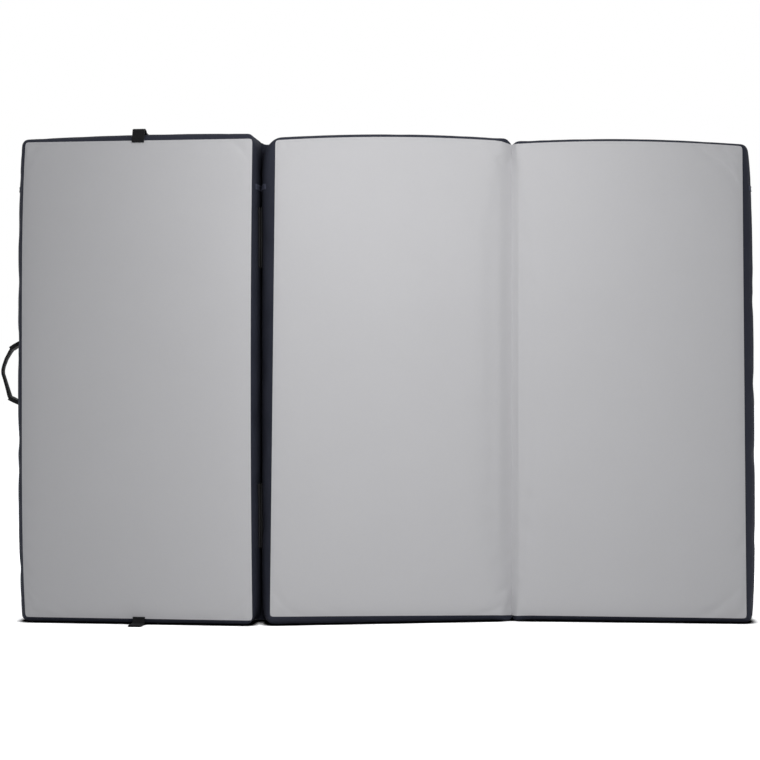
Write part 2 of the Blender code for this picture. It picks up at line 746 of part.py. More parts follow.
def belt_buckle(panel):
    """The side-release buckle of the waist belt: a hollow socket and the forked tongue clipped in it."""
    y = panel.back_y(panel.middle, BELT_HEIGHT) + GAP + SOCKET_THICKNESS / 2
    z = BELT_HEIGHT
    mouth = panel.middle + SOCKET_LENGTH / 2
    left = mouth - SOCKET_LENGTH
    shell = (SOCKET_LENGTH, SOCKET_THICKNESS, SOCKET_WIDTH)
    middle = (left + SOCKET_LENGTH / 2, y, z)
    socket = box_part("buckle_socket", shell, middle, "buckle_plastic", panel, SOCKET_BEVEL)
    slot_x = left + BUCKLE_BAR + BUCKLE_SLOT / 2
    cavity_start = left + BUCKLE_BAR + BUCKLE_SLOT + BUCKLE_WALL
    cavity_length = mouth - cavity_start
    cavity_height = SOCKET_THICKNESS - 2 * BUCKLE_WALL
    cavity_width = SOCKET_WIDTH - 2 * BUCKLE_WALL
    slot = (BUCKLE_SLOT, SOCKET_THICKNESS * 2, BELT_WEBBING + GAP * 4)
    join_or_cut(socket, cutter(slot, (slot_x, y, z), panel, "socket_slot"), "DIFFERENCE")
    thin_bar(socket, panel, left + BUCKLE_BAR / 2, y, z, "socket")
    hollow = (cavity_length * 2, cavity_height, cavity_width)
    middle = (cavity_start + cavity_length, y, z)
    join_or_cut(socket, cutter(hollow, middle, panel, "socket_hollow"), "DIFFERENCE")
    window_length = cavity_length * 0.52
    window_x = cavity_start + cavity_length * 0.16 + window_length / 2
    window = (window_length, cavity_height, SOCKET_WIDTH * 2)
    join_or_cut(socket, cutter(window, (window_x, y, z), panel, "socket_windows"), "DIFFERENCE")
    belt_tongue(panel, y, z, mouth, cavity_start, cavity_height, cavity_width, window_x, window_length)
    turn = wrap_radius(BUCKLE_BAR, BAR_THICKNESS)
    out = Vector((0, 1, 0))
    for word, side, bar_x in (("left", -1, left + BUCKLE_BAR / 2),
                              ("right", 1, mouth + GAP + TONGUE_BASE - BUCKLE_BAR / 2)):
        edge = panel.low + BELT_EDGE if side < 0 else panel.high - BELT_EDGE
        low = panel.back_y(bar_x, z) + GAP * 2 + WEBBING_THICKNESS / 2
        bar = Vector((bar_x, y, z))
        near, far = bar_x + side * turn * 2, bar_x + side * BELT_RETURN
        path = wrap((near, y - turn, z), (far, y + turn, z), bar, turn, Vector((-side, 0, 0)), -out)
        path.insert(0, Vector((far, low, z)))
        for reach in (-0.6, -0.3, 0.0, 0.2):
            px = edge + side * reach * PATCH_SIDE
            rest = panel.back_y(px, z) + GAP * 3 + PATCH_THICKNESS + WEBBING_THICKNESS / 2
            path.insert(0, Vector((px, rest, z)))
        ribbon(f"waist_belt_{word}", path, BELT_WEBBING, WEBBING_THICKNESS, (0, 0, 1), "webbing", panel)
        cloth_patch(panel, f"belt_patch_{word}", edge, z)


def thin_bar(buckle, panel, x, y, z, word):
    """Make a buckle's webbing bar thinner than its cheeks, so that the webbing goes round it between them."""
    for place, sign in (("upper", 1), ("lower", -1)):
        size = (BUCKLE_BAR * 3, SOCKET_THICKNESS, BELT_WEBBING + GAP * 4)
        middle = (x, y + sign * (SOCKET_THICKNESS + BAR_THICKNESS) / 2, z)
        join_or_cut(buckle, cutter(size, middle, panel, f"{word}_bar_{place}_relief"), "DIFFERENCE")


def belt_tongue(panel, y, z, mouth, cavity_start, cavity_height, cavity_width, window_x, window_length):
    """The forked half: a base with a webbing bar, a middle guide and two sprung arms with shoulders."""
    thickness = cavity_height - 2 * GAP
    arm = TONGUE_ARM
    guide = TONGUE_GUIDE
    base = mouth + GAP
    tip = cavity_start + GAP * 3
    half = cavity_width / 2 - GAP
    shoulder = SOCKET_WIDTH / 2 - GAP
    window_end = window_x + window_length / 2 - GAP * 2
    window_start = window_x - window_length / 2 + GAP * 2
    neck = half - 0.004
    outline = [
        (base + 0.004, half - 0.001),
        (window_end + 0.003, neck),
        (window_end, neck),
        (window_end, shoulder),
        (window_end - window_length * 0.45, shoulder),
        (window_start, half - 0.001),
        (tip + 0.004, half - 0.005),
        (tip, half - 0.009),
        (tip, half - 0.009 - arm * 0.6),
        (tip + 0.008, neck - arm),
        (base - 0.006, neck - arm),
        (base - 0.001, neck - arm - 0.004),
        (base - 0.001, guide + 0.002),
        (base - 0.004, guide),
        (tip + 0.006, guide),
        (tip + 0.003, guide * 0.4),
    ]
    outline += [(px, -pz) for px, pz in reversed(outline)]
    curve = bpy.data.curves.new("tongue_outline", "CURVE")
    curve.dimensions = "2D"
    curve.fill_mode = "BOTH"
    curve.extrude = thickness / 2
    spline = curve.splines.new("POLY")
    spline.points.add(len(outline) - 1)
    for point, (px, pz) in zip(spline.points, outline):
        point.co = (px, pz, 0, 1)
    spline.use_cyclic_u = True
    drawn = bpy.data.objects.new("tongue_outline", curve)
    collections["parts"].objects.link(drawn)
    mesh = bpy.data.meshes.new_from_object(drawn.evaluated_get(bpy.context.evaluated_depsgraph_get()))
    bpy.data.objects.remove(drawn, do_unlink=True)
    bm = bmesh.new()
    bm.from_mesh(mesh)
    bmesh.ops.remove_doubles(bm, verts=bm.verts, dist=0.00001)
    for vert in bm.verts:
        vert.co = Vector((vert.co.x, y + vert.co.z, z + vert.co.y))
    bmesh.ops.recalc_face_normals(bm, faces=bm.faces)
    mesh = finish_mesh(bm, "buckle_tongue")
    tongue = add_part("buckle_tongue", mesh, "buckle_plastic", panel.frame, panel.shift)
    grip = (TONGUE_BASE, SOCKET_THICKNESS - GAP * 5, SOCKET_WIDTH - GAP * 8)
    block = cutter(grip, (base + TONGUE_BASE / 2, y, z), panel, "tongue_base")
    round_edges(block, 0.0018)
    join_or_cut(tongue, block, "UNION")
    slot_x = base + TONGUE_BASE - BUCKLE_BAR - BUCKLE_SLOT / 2
    slot = (BUCKLE_SLOT, SOCKET_THICKNESS * 2, BELT_WEBBING + GAP * 4)
    join_or_cut(tongue, cutter(slot, (slot_x, y, z), panel, "tongue_slot"), "DIFFERENCE")
    thin_bar(tongue, panel, base + TONGUE_BASE - BUCKLE_BAR / 2, y, z, "tongue")


def wire_hook(panel, word, x, y, z):
    """A bent metal hook: an eye bar for the webbing, a shank and an open bend. It hangs from its bar."""
    carrier = make_frame(f"{word}_hook_axis", panel.frame, (x, y + panel.shift.y, z), 0)
    half = WEBBING / 2 + HOOK_WIRE + HOOK_EYE_ROOM
    shank = HOOK_EYE + HOOK_SHANK
    neck = HOOK_WIRE * 1.6
    points = [
        (HOOK_WIRE * 2.6 - half, 0),
        (half - HOOK_WIRE, 0),
        (half, -HOOK_WIRE),
        (half, HOOK_WIRE * 1.4 - HOOK_EYE),
        (half - HOOK_WIRE * 1.4, -HOOK_EYE),
        (neck + HOOK_WIRE, -HOOK_EYE - HOOK_WIRE),
        (neck, -HOOK_EYE - HOOK_WIRE * 2.6),
        (neck, -shank),
    ]
    bend_x = neck - HOOK_RADIUS
    for k in range(1, HOOK_STEPS + 1):
        turn = math.pi * HOOK_TURN * k / HOOK_STEPS
        points.append((bend_x + HOOK_RADIUS * math.cos(turn), -shank - HOOK_RADIUS * math.sin(turn)))
    curve = bpy.data.curves.new("hook_wire", "CURVE")
    curve.dimensions = "3D"
    curve.bevel_depth = HOOK_WIRE
    curve.bevel_resolution = 2
    curve.use_fill_caps = True
    spline = curve.splines.new("POLY")
    spline.points.add(len(points) - 1)
    for point, (px, pz) in zip(spline.points, points):
        point.co = (px, 0, pz, 1)
    part = bpy.data.objects.new(f"{word}_hook", curve)
    curve.materials.append(materials["metal"])
    part.parent = carrier
    collections["parts"].objects.link(part)


def closure_straps(panel):
    """The two straps that hold the folded pad shut, each with its hook."""
    x = panel.middle
    turn = (HOOK_WIRE + GAP + WEBBING_THICKNESS / 2) / math.cos(math.pi / 8)
    out, down = Vector((0, 1, 0)), Vector((0, 0, -1))
    over_patch = GAP * 2 + PATCH_THICKNESS + WEBBING_THICKNESS / 2
    over_yoke = panel.back_y(x, HEIGHT / 2) + over_patch + WEBBING_THICKNESS / 2
    bar_y = over_yoke + turn + GAP + WEBBING_THICKNESS / 2
    bar_z = CLOSURE_TOP - CLOSURE_DROP
    patch_z = CLOSURE_TOP - PATCH_SIDE / 3
    top_y = panel.back_y(x, CLOSURE_TOP - PATCH_SIDE) + over_patch
    path = [
        Vector((x, top_y, CLOSURE_TOP)),
        Vector((x, top_y, patch_z - PATCH_SIDE / 2 - PATCH_CLEAR)),
        Vector((x, over_yoke, YOKE_MIDDLE + YOKE_HEIGHT / 2)),
        Vector((x, over_yoke, YOKE_MIDDLE - YOKE_HEIGHT / 2)),
        Vector((x, bar_y - turn, bar_z + STRAP_RETURN)),
    ]
    tail = bar_z + STRAP_RETURN * 0.9
    bar = (x, bar_y, bar_z)
    path += wrap((x, bar_y - turn, bar_z + turn * 2), (x, bar_y + turn, tail), bar, turn, down, -out)
    ribbon("upper_closure_strap", path, WEBBING, WEBBING_THICKNESS, (1, 0, 0), "webbing", panel)
    cloth_patch(panel, "upper_closure_patch", x, patch_z)
    wire_hook(panel, "upper_closure", x, bar_y, bar_z)
    fold_z = CLOSURE_BOTTOM + CLOSURE_FOLD
    low = panel.back_y(x, fold_z) + over_patch
    bar_y = low + 2 * FOLD_RADIUS + turn
    bar_z = CLOSURE_BOTTOM + PATCH_SIDE / 3
    rise = [CLOSURE_BOTTOM + (CLOSURE_FOLD - FOLD_RADIUS) * k / 4 for k in range(5)]
    path = [Vector((x, panel.back_y(x, z) + over_patch, z)) for z in rise]
    for quarter in (0.25, 0.5, 0.75, 1.0):
        angle = math.pi * quarter
        y = low + FOLD_RADIUS * (1 - math.cos(angle))
        path.append(Vector((x, y, fold_z + FOLD_RADIUS * math.sin(angle))))
    tail = bar_z + STRAP_RETURN * 0.75
    bar = (x, bar_y, bar_z)
    path += wrap((x, bar_y - turn, bar_z + turn * 2), (x, bar_y + turn, tail), bar, turn, down, -out)
    ribbon("lower_closure_strap", path, WEBBING, WEBBING_THICKNESS, (1, 0, 0), "webbing", panel)
    cloth_patch(panel, "lower_closure_patch", x, CLOSURE_BOTTOM + PATCH_SIDE * 0.3)
    wire_hook(panel, "lower_closure", x, bar_y, bar_z)


def main():
    clear_scene()
    make_collections()
    make_materials()
    middle_frame = make_frame("middle_panel_axis", None, (0, 0, 0), MIDDLE_YAW)
    half = MIDDLE_WIDTH / 2
    left_frame = make_frame("left_fold_axis", middle_frame, (-half, HINGE_1_Y, 0), LEFT_YAW - MIDDLE_YAW)
    right_frame = make_frame("right_fold_axis", middle_frame, (half, HINGE_2_Y, 0), RIGHT_YAW - MIDDLE_YAW)
    laps = (None, "right")
    left = Panel("left", -LEFT_WIDTH, 0, LEFT_INSETS, laps, LEFT_TOP, left_frame, (0, -HINGE_1_Y, 0))
    laps = ("right", "left")
    middle = Panel("middle", -half, half, MIDDLE_INSETS, laps, MIDDLE_TOP, middle_frame, (0, 0, 0))
    laps = ("left", None)
    right = Panel("right", 0, RIGHT_WIDTH, RIGHT_INSETS, laps, RIGHT_TOP, right_frame, (0, -HINGE_2_Y, 0))
    for panel in (left, middle, right):
        make_panel(panel)
        base_zip(panel)
    closure_strips(left, "right")
    closure_strips(middle, "left")
    side_handle(left)
    closure_tabs(left)
    cloth_patch(right, "shoulder_yoke", right.middle, YOKE_MIDDLE, YOKE_WIDTH, YOKE_HEIGHT, 6, 2)
    for word, sign in (("left", -1), ("right", 1)):
        shoulder_set(right, word, sign)
    belt_buckle(right)
    closure_straps(right)


main()
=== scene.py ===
"""The dressed crash pad: cloth covers over foam, webbing, zips and buckles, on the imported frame."""

import math

import bmesh
import bpy
from mathutils import Matrix, Vector


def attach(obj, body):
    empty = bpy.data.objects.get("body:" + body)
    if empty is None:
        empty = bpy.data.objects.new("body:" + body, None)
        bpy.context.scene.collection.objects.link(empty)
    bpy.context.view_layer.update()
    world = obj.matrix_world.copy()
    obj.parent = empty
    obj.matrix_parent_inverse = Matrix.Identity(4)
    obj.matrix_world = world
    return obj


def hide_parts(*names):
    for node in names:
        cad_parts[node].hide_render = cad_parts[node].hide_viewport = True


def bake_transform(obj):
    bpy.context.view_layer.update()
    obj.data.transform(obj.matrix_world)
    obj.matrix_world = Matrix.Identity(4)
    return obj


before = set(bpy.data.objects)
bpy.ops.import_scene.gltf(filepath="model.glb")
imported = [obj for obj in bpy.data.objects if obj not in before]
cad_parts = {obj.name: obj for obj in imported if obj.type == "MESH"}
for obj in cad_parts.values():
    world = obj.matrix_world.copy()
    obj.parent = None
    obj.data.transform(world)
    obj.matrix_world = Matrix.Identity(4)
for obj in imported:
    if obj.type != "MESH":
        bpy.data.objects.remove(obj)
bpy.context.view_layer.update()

# Sizes of the pad, in metres, as in the part's source
HEIGHT = 1.000
LEFT_WIDTH, MIDDLE_WIDTH, RIGHT_WIDTH = 0.500, 0.511, 0.493
LEFT_YAW, MIDDLE_YAW, RIGHT_YAW = -6.5, 7.5, -4.5
HALF = 0.045
FOLD_GAP = 0.0015
LANDING_CROWN, BASE_CROWN = 0.007, 0.005
FRONT_ROUND, BACK_ROUND, LAP_ROUND = 0.022, 0.018, 0.004
CORNER_RADIUS, END_RADIUS, SEAM_RADIUS, FOOT_RADIUS = 0.018, 0.013, 0.0055, 0.002
TOP_RADIUS = {"left": 0.012, "middle": 0.034, "right": 0.018}
CORNER_ZONE = 0.040
CREASE_DIP, FOLD_DROP, FOLD_RISE = 0.002, 0.0128, 0.009
FOLD_SHIFT = {"front": -0.0045, "back": -0.005}
VALLEY_DEPTH = 0.015
BAND_BEHIND, EDGE_TUCK, ROLL_UNDER = 0.002, 0.0025, 0.09
SET_BACK = 0.003
BASE_INSET = 0.013
JOIN = 0.896
GAP = 0.0004
PATCH = 0.0016
WEBBING = 0.025
BELT = 0.038
WEB_THICK = 0.0014


def srgb(red, green, blue):
    """A screen colour as Blender's linear colour."""
    return [((c / 255 + 0.055) / 1.055) ** 2.4 for c in (red, green, blue)] + [1.0]


class Panel:
    """One panel in its own axes: x along the pad, y = 0 in its middle, z up."""

    def __init__(self, name, low, high, insets, laps, top, end, valley, yaw, place):
        self.name = name
        self.low, self.high = low, high
        self.insets = insets
        self.laps = {"front": laps[0], "back": laps[1]}
        self.hinges = [side for side in laps if side]
        self.top = top
        self.end = end
        self.valley = valley
        self.middle = (low + high) / 2
        self.body = name + "_panel"
        self.place = Matrix.Translation(place) @ yawed(yaw)

    def crown(self, height, x, z):
        u = (x - self.middle) / ((self.high - self.low) / 2 - CORNER_ZONE / 2)
        w = (2 * z - HEIGHT) / (HEIGHT - CORNER_ZONE)
        return height * max(0.0, 1 - abs(u) ** 3) * max(0.0, 1 - abs(w) ** 3)

    def back_y(self, x, z):
        return HALF + self.crown(BASE_CROWN, x, z)

    def top_shift(self, a):
        """How far the top edge stands above the nominal height; a runs from -1 to 1 along the panel."""
        return self.top["lift"] + self.top["rise"] * a - self.top["droop"] * a * a

    def end_shift(self, x, a, c):
        """How far the free end bows in and the panel leans; c runs from -1 to 1 up the panel."""
        bow = 0.0 if ("left" if a < 0 else "right") in self.hinges else self.end["bow"] * c ** 4 * a
        return bow + self.end["lean"] * c * (x - bow - self.low) / (self.high - self.low)


def yawed(degrees):
    return Matrix.Rotation(math.radians(degrees), 4, "Z")


half_middle = MIDDLE_WIDTH / 2
axis_depth = HALF + FOLD_GAP
hinge_1 = yawed(MIDDLE_YAW) @ Vector((-half_middle, axis_depth, 0))
hinge_2 = yawed(MIDDLE_YAW) @ Vector((half_middle, -axis_depth, 0))
left_place = hinge_1 + yawed(LEFT_YAW) @ Vector((0, -axis_depth, 0))
right_place = hinge_2 + yawed(RIGHT_YAW) @ Vector((0, axis_depth, 0))
# Each seam's inset from its wall: at its middle, its slope, its bend, and its flare towards both ends
left = Panel("left", -LEFT_WIDTH, 0,
             {"left": (0.0127, 0, 0, 0), "right": (0.0035, 0, -0.0035, 0),
              "bottom": (0.0112, 0, 0, 0), "top": (0.0145, 0.0021, -0.0042, 0)},
             (None, "right"), {"lift": 0.0015, "rise": 0.0025, "droop": 0.0045},
             {"tuck": 0.003, "lean": 0.0, "bow": 0.009}, 0.0, LEFT_YAW, left_place)
middle = Panel("middle", -half_middle, half_middle,
               {"left": (0.013, 0.0055, 0, 0), "bottom": (0.016, -0.003, 0, 0), "top": (0.0075, 0, 0, 0)},
               ("right", "left"), {"lift": 0.003, "rise": 0.004, "droop": 0.009},
               {"tuck": 0.0, "lean": 0.0, "bow": 0.0}, 0.026, MIDDLE_YAW, (0, 0, 0))
right = Panel("right", 0, RIGHT_WIDTH,
              {"right": (0.0200, 0, 0, -0.0060), "bottom": (0.0122, -0.0006, 0, 0),
               "top": (0.007, -0.0005, 0, 0)},
              ("left", None), {"lift": -0.0045, "rise": -0.006, "droop": 0.0085},
              {"tuck": 0.001, "lean": 0.0045, "bow": 0.0065}, 0.008, RIGHT_YAW, right_place)


# Materials

def set_inputs(tree, node, **values):
    """Set a node's sockets, by name with _ for a space, to values or to other nodes' outputs."""
    for name, value in values.items():
        give(tree, node.inputs[name.replace("_", " ")], value)
    return node


def give(tree, socket, value):
    if isinstance(value, bpy.types.NodeSocket):
        tree.links.new(value, socket)
    else:
        socket.default_value = value


def add_node(tree, kind, **values):
    return set_inputs(tree, tree.nodes.new("ShaderNode" + kind), **values)


def new_material(name, colour, roughness, **values):
    material = bpy.data.materials.new(name)
    material.use_nodes = True
    tree = material.node_tree
    shader = tree.nodes["Principled BSDF"]
    set_inputs(tree, shader, Base_Color=colour, Roughness=roughness, **values)
    return material, tree, shader


def arithmetic(tree, operation, first, second):
    node = tree.nodes.new("ShaderNodeMath")
    node.operation = operation
    for socket, value in zip(node.inputs, (first, second)):
        give(tree, socket, value)
    return node.outputs[0]


def weighted(tree, *parts):
    """The sum of some outputs, each times its share."""
    total = None
    for value, share in parts:
        part = arithmetic(tree, "MULTIPLY", value, share)
        total = part if total is None else arithmetic(tree, "ADD", total, part)
    return total


def tint(tree, amount, dark, light):
    """A colour between two, by an amount from 0 to 1."""
    ramp = add_node(tree, "ValToRGB", Fac=amount)
    ramp.color_ramp.elements[0].color = dark
    ramp.color_ramp.elements[1].color = light
    return ramp.outputs["Color"]


def shade(colour, factor):
    return [min(1.0, c * factor) for c in colour[:3]] + [1.0]


def cloth_coordinates(tree, turn=0.0, stretch=(1, 1, 1)):
    """The cloth's own measure in metres, from its UV map, turned and stretched."""
    uv = tree.nodes.new("ShaderNodeUVMap")
    uv.uv_map = "cloth"
    mapping = add_node(tree, "Mapping", Vector=uv.outputs["UV"], Rotation=(0, 0, turn), Scale=stretch)
    return mapping.outputs["Vector"]


def own_coordinates(tree):
    return tree.nodes.new("ShaderNodeTexCoord").outputs["Object"]


def ribs_across(tree, vector, direction, pitch, **values):
    """Rounded ribs, one to each pitch."""
    wave = add_node(tree, "TexWave", Vector=vector, Scale=math.pi / (10 * pitch), **values)
    wave.bands_direction = direction
    return wave.outputs["Fac"]


def plain_weave(tree, vector, pitch):
    """Height of a plain weave: warp and weft threads, each over the other in turn."""
    checker = add_node(tree, "TexChecker", Vector=vector, Scale=1 / pitch)
    mix = tree.nodes.new("ShaderNodeMix")
    give(tree, mix.inputs[0], checker.outputs["Fac"])
    for socket, direction in ((2, "X"), (3, "Y")):
        uneven = {"Distortion": 0.35, "Detail": 1.0, "Detail_Scale": 2.0}
        give(tree, mix.inputs[socket], ribs_across(tree, vector, direction, pitch, **uneven))
    return mix.outputs[0]


def noise_of(tree, scale, detail=2.0, vector=None):
    if vector is None:
        vector = own_coordinates(tree)
    return add_node(tree, "TexNoise", Vector=vector, Scale=scale, Detail=detail).outputs["Fac"]


def cells_of(tree, scale):
    return add_node(tree, "TexVoronoi", Vector=own_coordinates(tree), Scale=scale).outputs["Distance"]


def lay_finish(tree, shader, colour, height, strength, distance, **values):
    """Join a material's colour and its small relief to its shader."""
    bump = add_node(tree, "Bump", Strength=strength, Distance=distance, Height=height)
    set_inputs(tree, shader, Base_Color=colour, Normal=bump.outputs["Normal"], **values)


def woven_cloth(name, colour, pitch, roughness, contrast=0.12, edge=1.0, seam_light_tone=1.35):
    """Coated nylon in plain weave: threads of uneven colour with painted shade between them, faint handling
    marks, and another tone at marked seams: painted highlight on the landing nylon, painted shade at the side
    bands' edges, and a darker tone at the base's seams.
    """
    material, tree, shader = new_material(name, colour, roughness, Specular_IOR_Level=0.1)
    weave = plain_weave(tree, cloth_coordinates(tree), pitch)
    warp = noise_of(tree, 900, 2.0, cloth_coordinates(tree, 0, (0.12, 1, 1)))
    weft = noise_of(tree, 900, 2.0, cloth_coordinates(tree, 0, (1, 0.12, 1)))
    patches = noise_of(tree, 7, 4.0)
    specks = noise_of(tree, 160, 3.0)
    # The weave's height also sets the colour, darker between the threads: painted shade in the weave's gaps.
    total = weighted(tree, (weave, 0.30), (warp, 0.25), (weft, 0.25), (patches, 0.45), (specks, 0.25))
    amount = arithmetic(tree, "SUBTRACT", total, 0.25)
    base = tint(tree, amount, shade(colour, 1 - contrast), shade(colour, 1 + contrast))
    # At the marked seams the colour moves towards the seam tone: a painted highlight where the tone is above
    # 1, painted shade where it is below 1.
    seam = tree.nodes.new("ShaderNodeAttribute")
    seam.attribute_name = "seam"
    painted_seam_light = tree.nodes.new("ShaderNodeMix")
    painted_seam_light.data_type = "RGBA"
    give(tree, painted_seam_light.inputs[0], arithmetic(tree, "MULTIPLY", seam.outputs["Fac"], edge))
    give(tree, painted_seam_light.inputs[6], base)
    give(tree, painted_seam_light.inputs[7], shade(colour, seam_light_tone))
    rough = arithmetic(tree, "ADD", arithmetic(tree, "MULTIPLY", patches, 0.2), roughness - 0.1)
    lay_finish(tree, shader, painted_seam_light.outputs[2], weave, 0.35, pitch * 0.4, Roughness=rough)
    return material


def webbing_weave(name, colour, pitch=0.0016):
    """Nylon webbing: ribs slanting across the tape, over warp threads along it, with a little fluff."""
    material, tree, shader = new_material(name, colour, 0.62, Specular_IOR_Level=0.12, Sheen_Weight=0.02)
    slant = cloth_coordinates(tree, math.radians(28))
    ribs = ribs_across(tree, slant, "X", pitch, Distortion=0.6, Detail_Scale=3.0)
    warp = ribs_across(tree, cloth_coordinates(tree), "Y", pitch * 0.9)
    height = weighted(tree, (ribs, 0.6), (warp, 0.4))
    # The colour follows the ribs' height, darker in the grooves: painted shade, mixed with a random tone from
    # the noise.
    amount = weighted(tree, (height, 0.6), (noise_of(tree, 450, 3.0), 0.4))
    lay_finish(tree, shader, tint(tree, amount, shade(colour, 0.6), shade(colour, 1.3)), height, 0.6, 0.0004)
    return material


def fuzzy_strip(name, colour):
    """Hook and loop tape: a close pile of small loops."""
    material, tree, shader = new_material(name, colour, 0.95, Specular_IOR_Level=0.1, Sheen_Weight=0.05)
    pile = tint(tree, cells_of(tree, 1100), shade(colour, 1.6), shade(colour, 0.5))
    lay_finish(tree, shader, pile, noise_of(tree, 1500, 3.0), 0.8, 0.0006)
    return material


def foam(name, colour, cell):
    """Foam: cells of uneven size, with the faint scorch of the cutting wire."""
    material, tree, shader = new_material(name, colour, 0.95)
    cells = cells_of(tree, 1 / cell)
    # The colour follows the cells' relief, darker in the pores: painted shade, mixed with a random tone from
    # the noise.
    amount = weighted(tree, (cells, 0.7), (noise_of(tree, 9), 0.4))
    mixed = tint(tree, amount, shade(colour, 0.7), shade(colour, 1.1))
    lay_finish(tree, shader, mixed, cells, 0.5, cell * 0.5)
    return material


def moulded_plastic(name, colour):
    """Moulded nylon: fine spark texture and faint flow marks."""
    material, tree, shader = new_material(name, colour, 0.42)
    flow = noise_of(tree, 60, 3.0)
    marks = tint(tree, flow, shade(colour, 0.85), shade(colour, 1.3))
    rough = arithmetic(tree, "ADD", arithmetic(tree, "MULTIPLY", flow, 0.2), 0.34)
    lay_finish(tree, shader, marks, noise_of(tree, 2200, 2.0), 0.25, 0.0001, Roughness=rough)
    return material


def bead_blasted_metal(name, colour, roughness):
    """Cast or bent metal with a fine satin surface and small rubbed patches."""
    material, tree, shader = new_material(name, colour, roughness, Metallic=1.0)
    rub = noise_of(tree, 220, 4.0)
    worn = tint(tree, rub, shade(colour, 0.75), shade(colour, 1.15))
    rough = arithmetic(tree, "ADD", arithmetic(tree, "MULTIPLY", rub, 0.25), roughness - 0.1)
    lay_finish(tree, shader, worn, noise_of(tree, 1800, 2.0), 0.15, 0.0001, Roughness=rough)
    return material


def sewing_thread(name, colour):
    material, tree, shader = new_material(name, colour, 0.55)
    twist = noise_of(tree, 1400, 1.0)
    # The colour follows the twist's relief, darker in its grooves: painted shade.
    lay_finish(tree, shader, tint(tree, twist, shade(colour, 0.7), shade(colour, 1.2)), twist, 0.4, 0.0001)
    return material


# The numbers after the contrast are how strongly, and to which tone (1.35 when not given), each cloth changes
# at its marked seams: painted highlight on the landing nylon, painted shade at the side nylon's edges, and a
# darker tone at the base nylon's seams.
landing_nylon = woven_cloth("landing_nylon", srgb(178, 178, 181), 0.0011, 0.8, 0.10, 0.5)
side_nylon = woven_cloth("side_nylon", srgb(74, 77, 92), 0.0013, 0.72, 0.16, 0.9, 0.38)
base_nylon = woven_cloth("base_nylon", srgb(52, 54, 66), 0.0016, 0.75, 0.18, 0.4, 0.7)
black_webbing = webbing_weave("black_webbing", srgb(17, 17, 19))
pile_tape = fuzzy_strip("pile_tape", srgb(24, 24, 27))
zip_tape = woven_cloth("zip_tape", srgb(27, 27, 31), 0.0010, 0.8, 0.2, 0.0)
strap_mesh = woven_cloth("strap_mesh", srgb(36, 37, 43), 0.0022, 0.85, 0.25, 0.2)
firm_foam = foam("closed_cell_foam", srgb(70, 72, 76), 0.0012)
soft_foam = foam("open_cell_foam", srgb(214, 206, 176), 0.0022)
buckle_nylon = moulded_plastic("buckle_nylon", srgb(24, 24, 27))
coil_nylon = moulded_plastic("coil_nylon", srgb(30, 30, 33))
slider_metal = bead_blasted_metal("slider_metal", srgb(70, 71, 75), 0.42)
hook_metal = bead_blasted_metal("hook_metal", srgb(176, 178, 183), 0.33)
pale_thread = sewing_thread("pale_thread", srgb(186, 187, 191))
slate_thread = sewing_thread("slate_thread", srgb(84, 88, 104))
black_thread = sewing_thread("black_thread", srgb(46, 46, 50))


# Tools of the bench

def start_piece():
    """Deselect all, so that the next primitive is alone under the tools."""
    if bpy.context.object and bpy.context.object.mode != "OBJECT":
        bpy.ops.object.mode_set(mode="OBJECT")
    bpy.ops.object.select_all(action="DESELECT")


def name_piece(name, material):
    piece = bpy.context.object
    piece.name = name
    piece.data.name = name
    piece.data.materials.clear()
    piece.data.materials.append(material)
    return piece


def pick(piece):
    """Put one piece alone under the tools."""
    start_piece()
    piece.select_set(True)
    bpy.context.view_layer.objects.active = piece


def apply_all(piece):
    pick(piece)
    for step in list(piece.modifiers):
        bpy.ops.object.modifier_apply(modifier=step.name)


def smooth(piece, degrees=40):
    pick(piece)
    bpy.ops.object.shade_smooth_by_angle(angle=math.radians(degrees))


def work_all(piece, tool, **values):
    """Use one tool on the whole mesh of a piece."""
    pick(piece)
    bpy.ops.object.mode_set(mode="EDIT")
    bpy.ops.mesh.select_all(action="SELECT")
    tool(**values)
    bpy.ops.object.mode_set(mode="OBJECT")


def unit_block(name, material, cuts):
    """A cube from 0 to 1, cut into cells: for each axis, how many cuts across it."""
    start_piece()
    bpy.ops.mesh.primitive_cube_add(size=1, location=(0.5, 0.5, 0.5))
    bpy.ops.object.transform_apply(location=True)
    block = name_piece(name, material)
    bpy.ops.object.mode_set(mode="EDIT")
    for axis, number in cuts:
        bpy.ops.mesh.select_all(action="DESELECT")
        grid = bmesh.from_edit_mesh(block.data)
        for edge in grid.edges:
            along = edge.verts[1].co - edge.verts[0].co
            edge.select = abs(along[axis]) > 0.9 * along.length
        bmesh.update_edit_mesh(block.data)
        bpy.ops.mesh.subdivide(number_cuts=number)
    bpy.ops.object.mode_set(mode="OBJECT")
    return block


def round_edges(piece, width, segments=2, degrees=50):
    edge = piece.modifiers.new("rounded edges", "BEVEL")
    edge.width = width
    edge.segments = segments
    edge.limit_method = "ANGLE"
    edge.angle_limit = math.radians(degrees)
    apply_all(piece)


def thread_through(name, spots):
    """A curve from spot to spot."""
    line = bpy.data.curves.new(name, "CURVE")
    line.dimensions = "3D"
    spline = line.splines.new("POLY")
    spline.points.add(len(spots) - 1)
    for point, spot in zip(spline.points, spots):
        point.co = (*spot, 1)
    guide = bpy.data.objects.new(name, line)
    bpy.context.scene.collection.objects.link(guide)
    return guide


def settle(piece, panel):
    """Put a piece drawn in a panel's own axes where the panel stands."""
    piece.data.transform(panel.place)
    piece.data.update()


FAR = 2.0


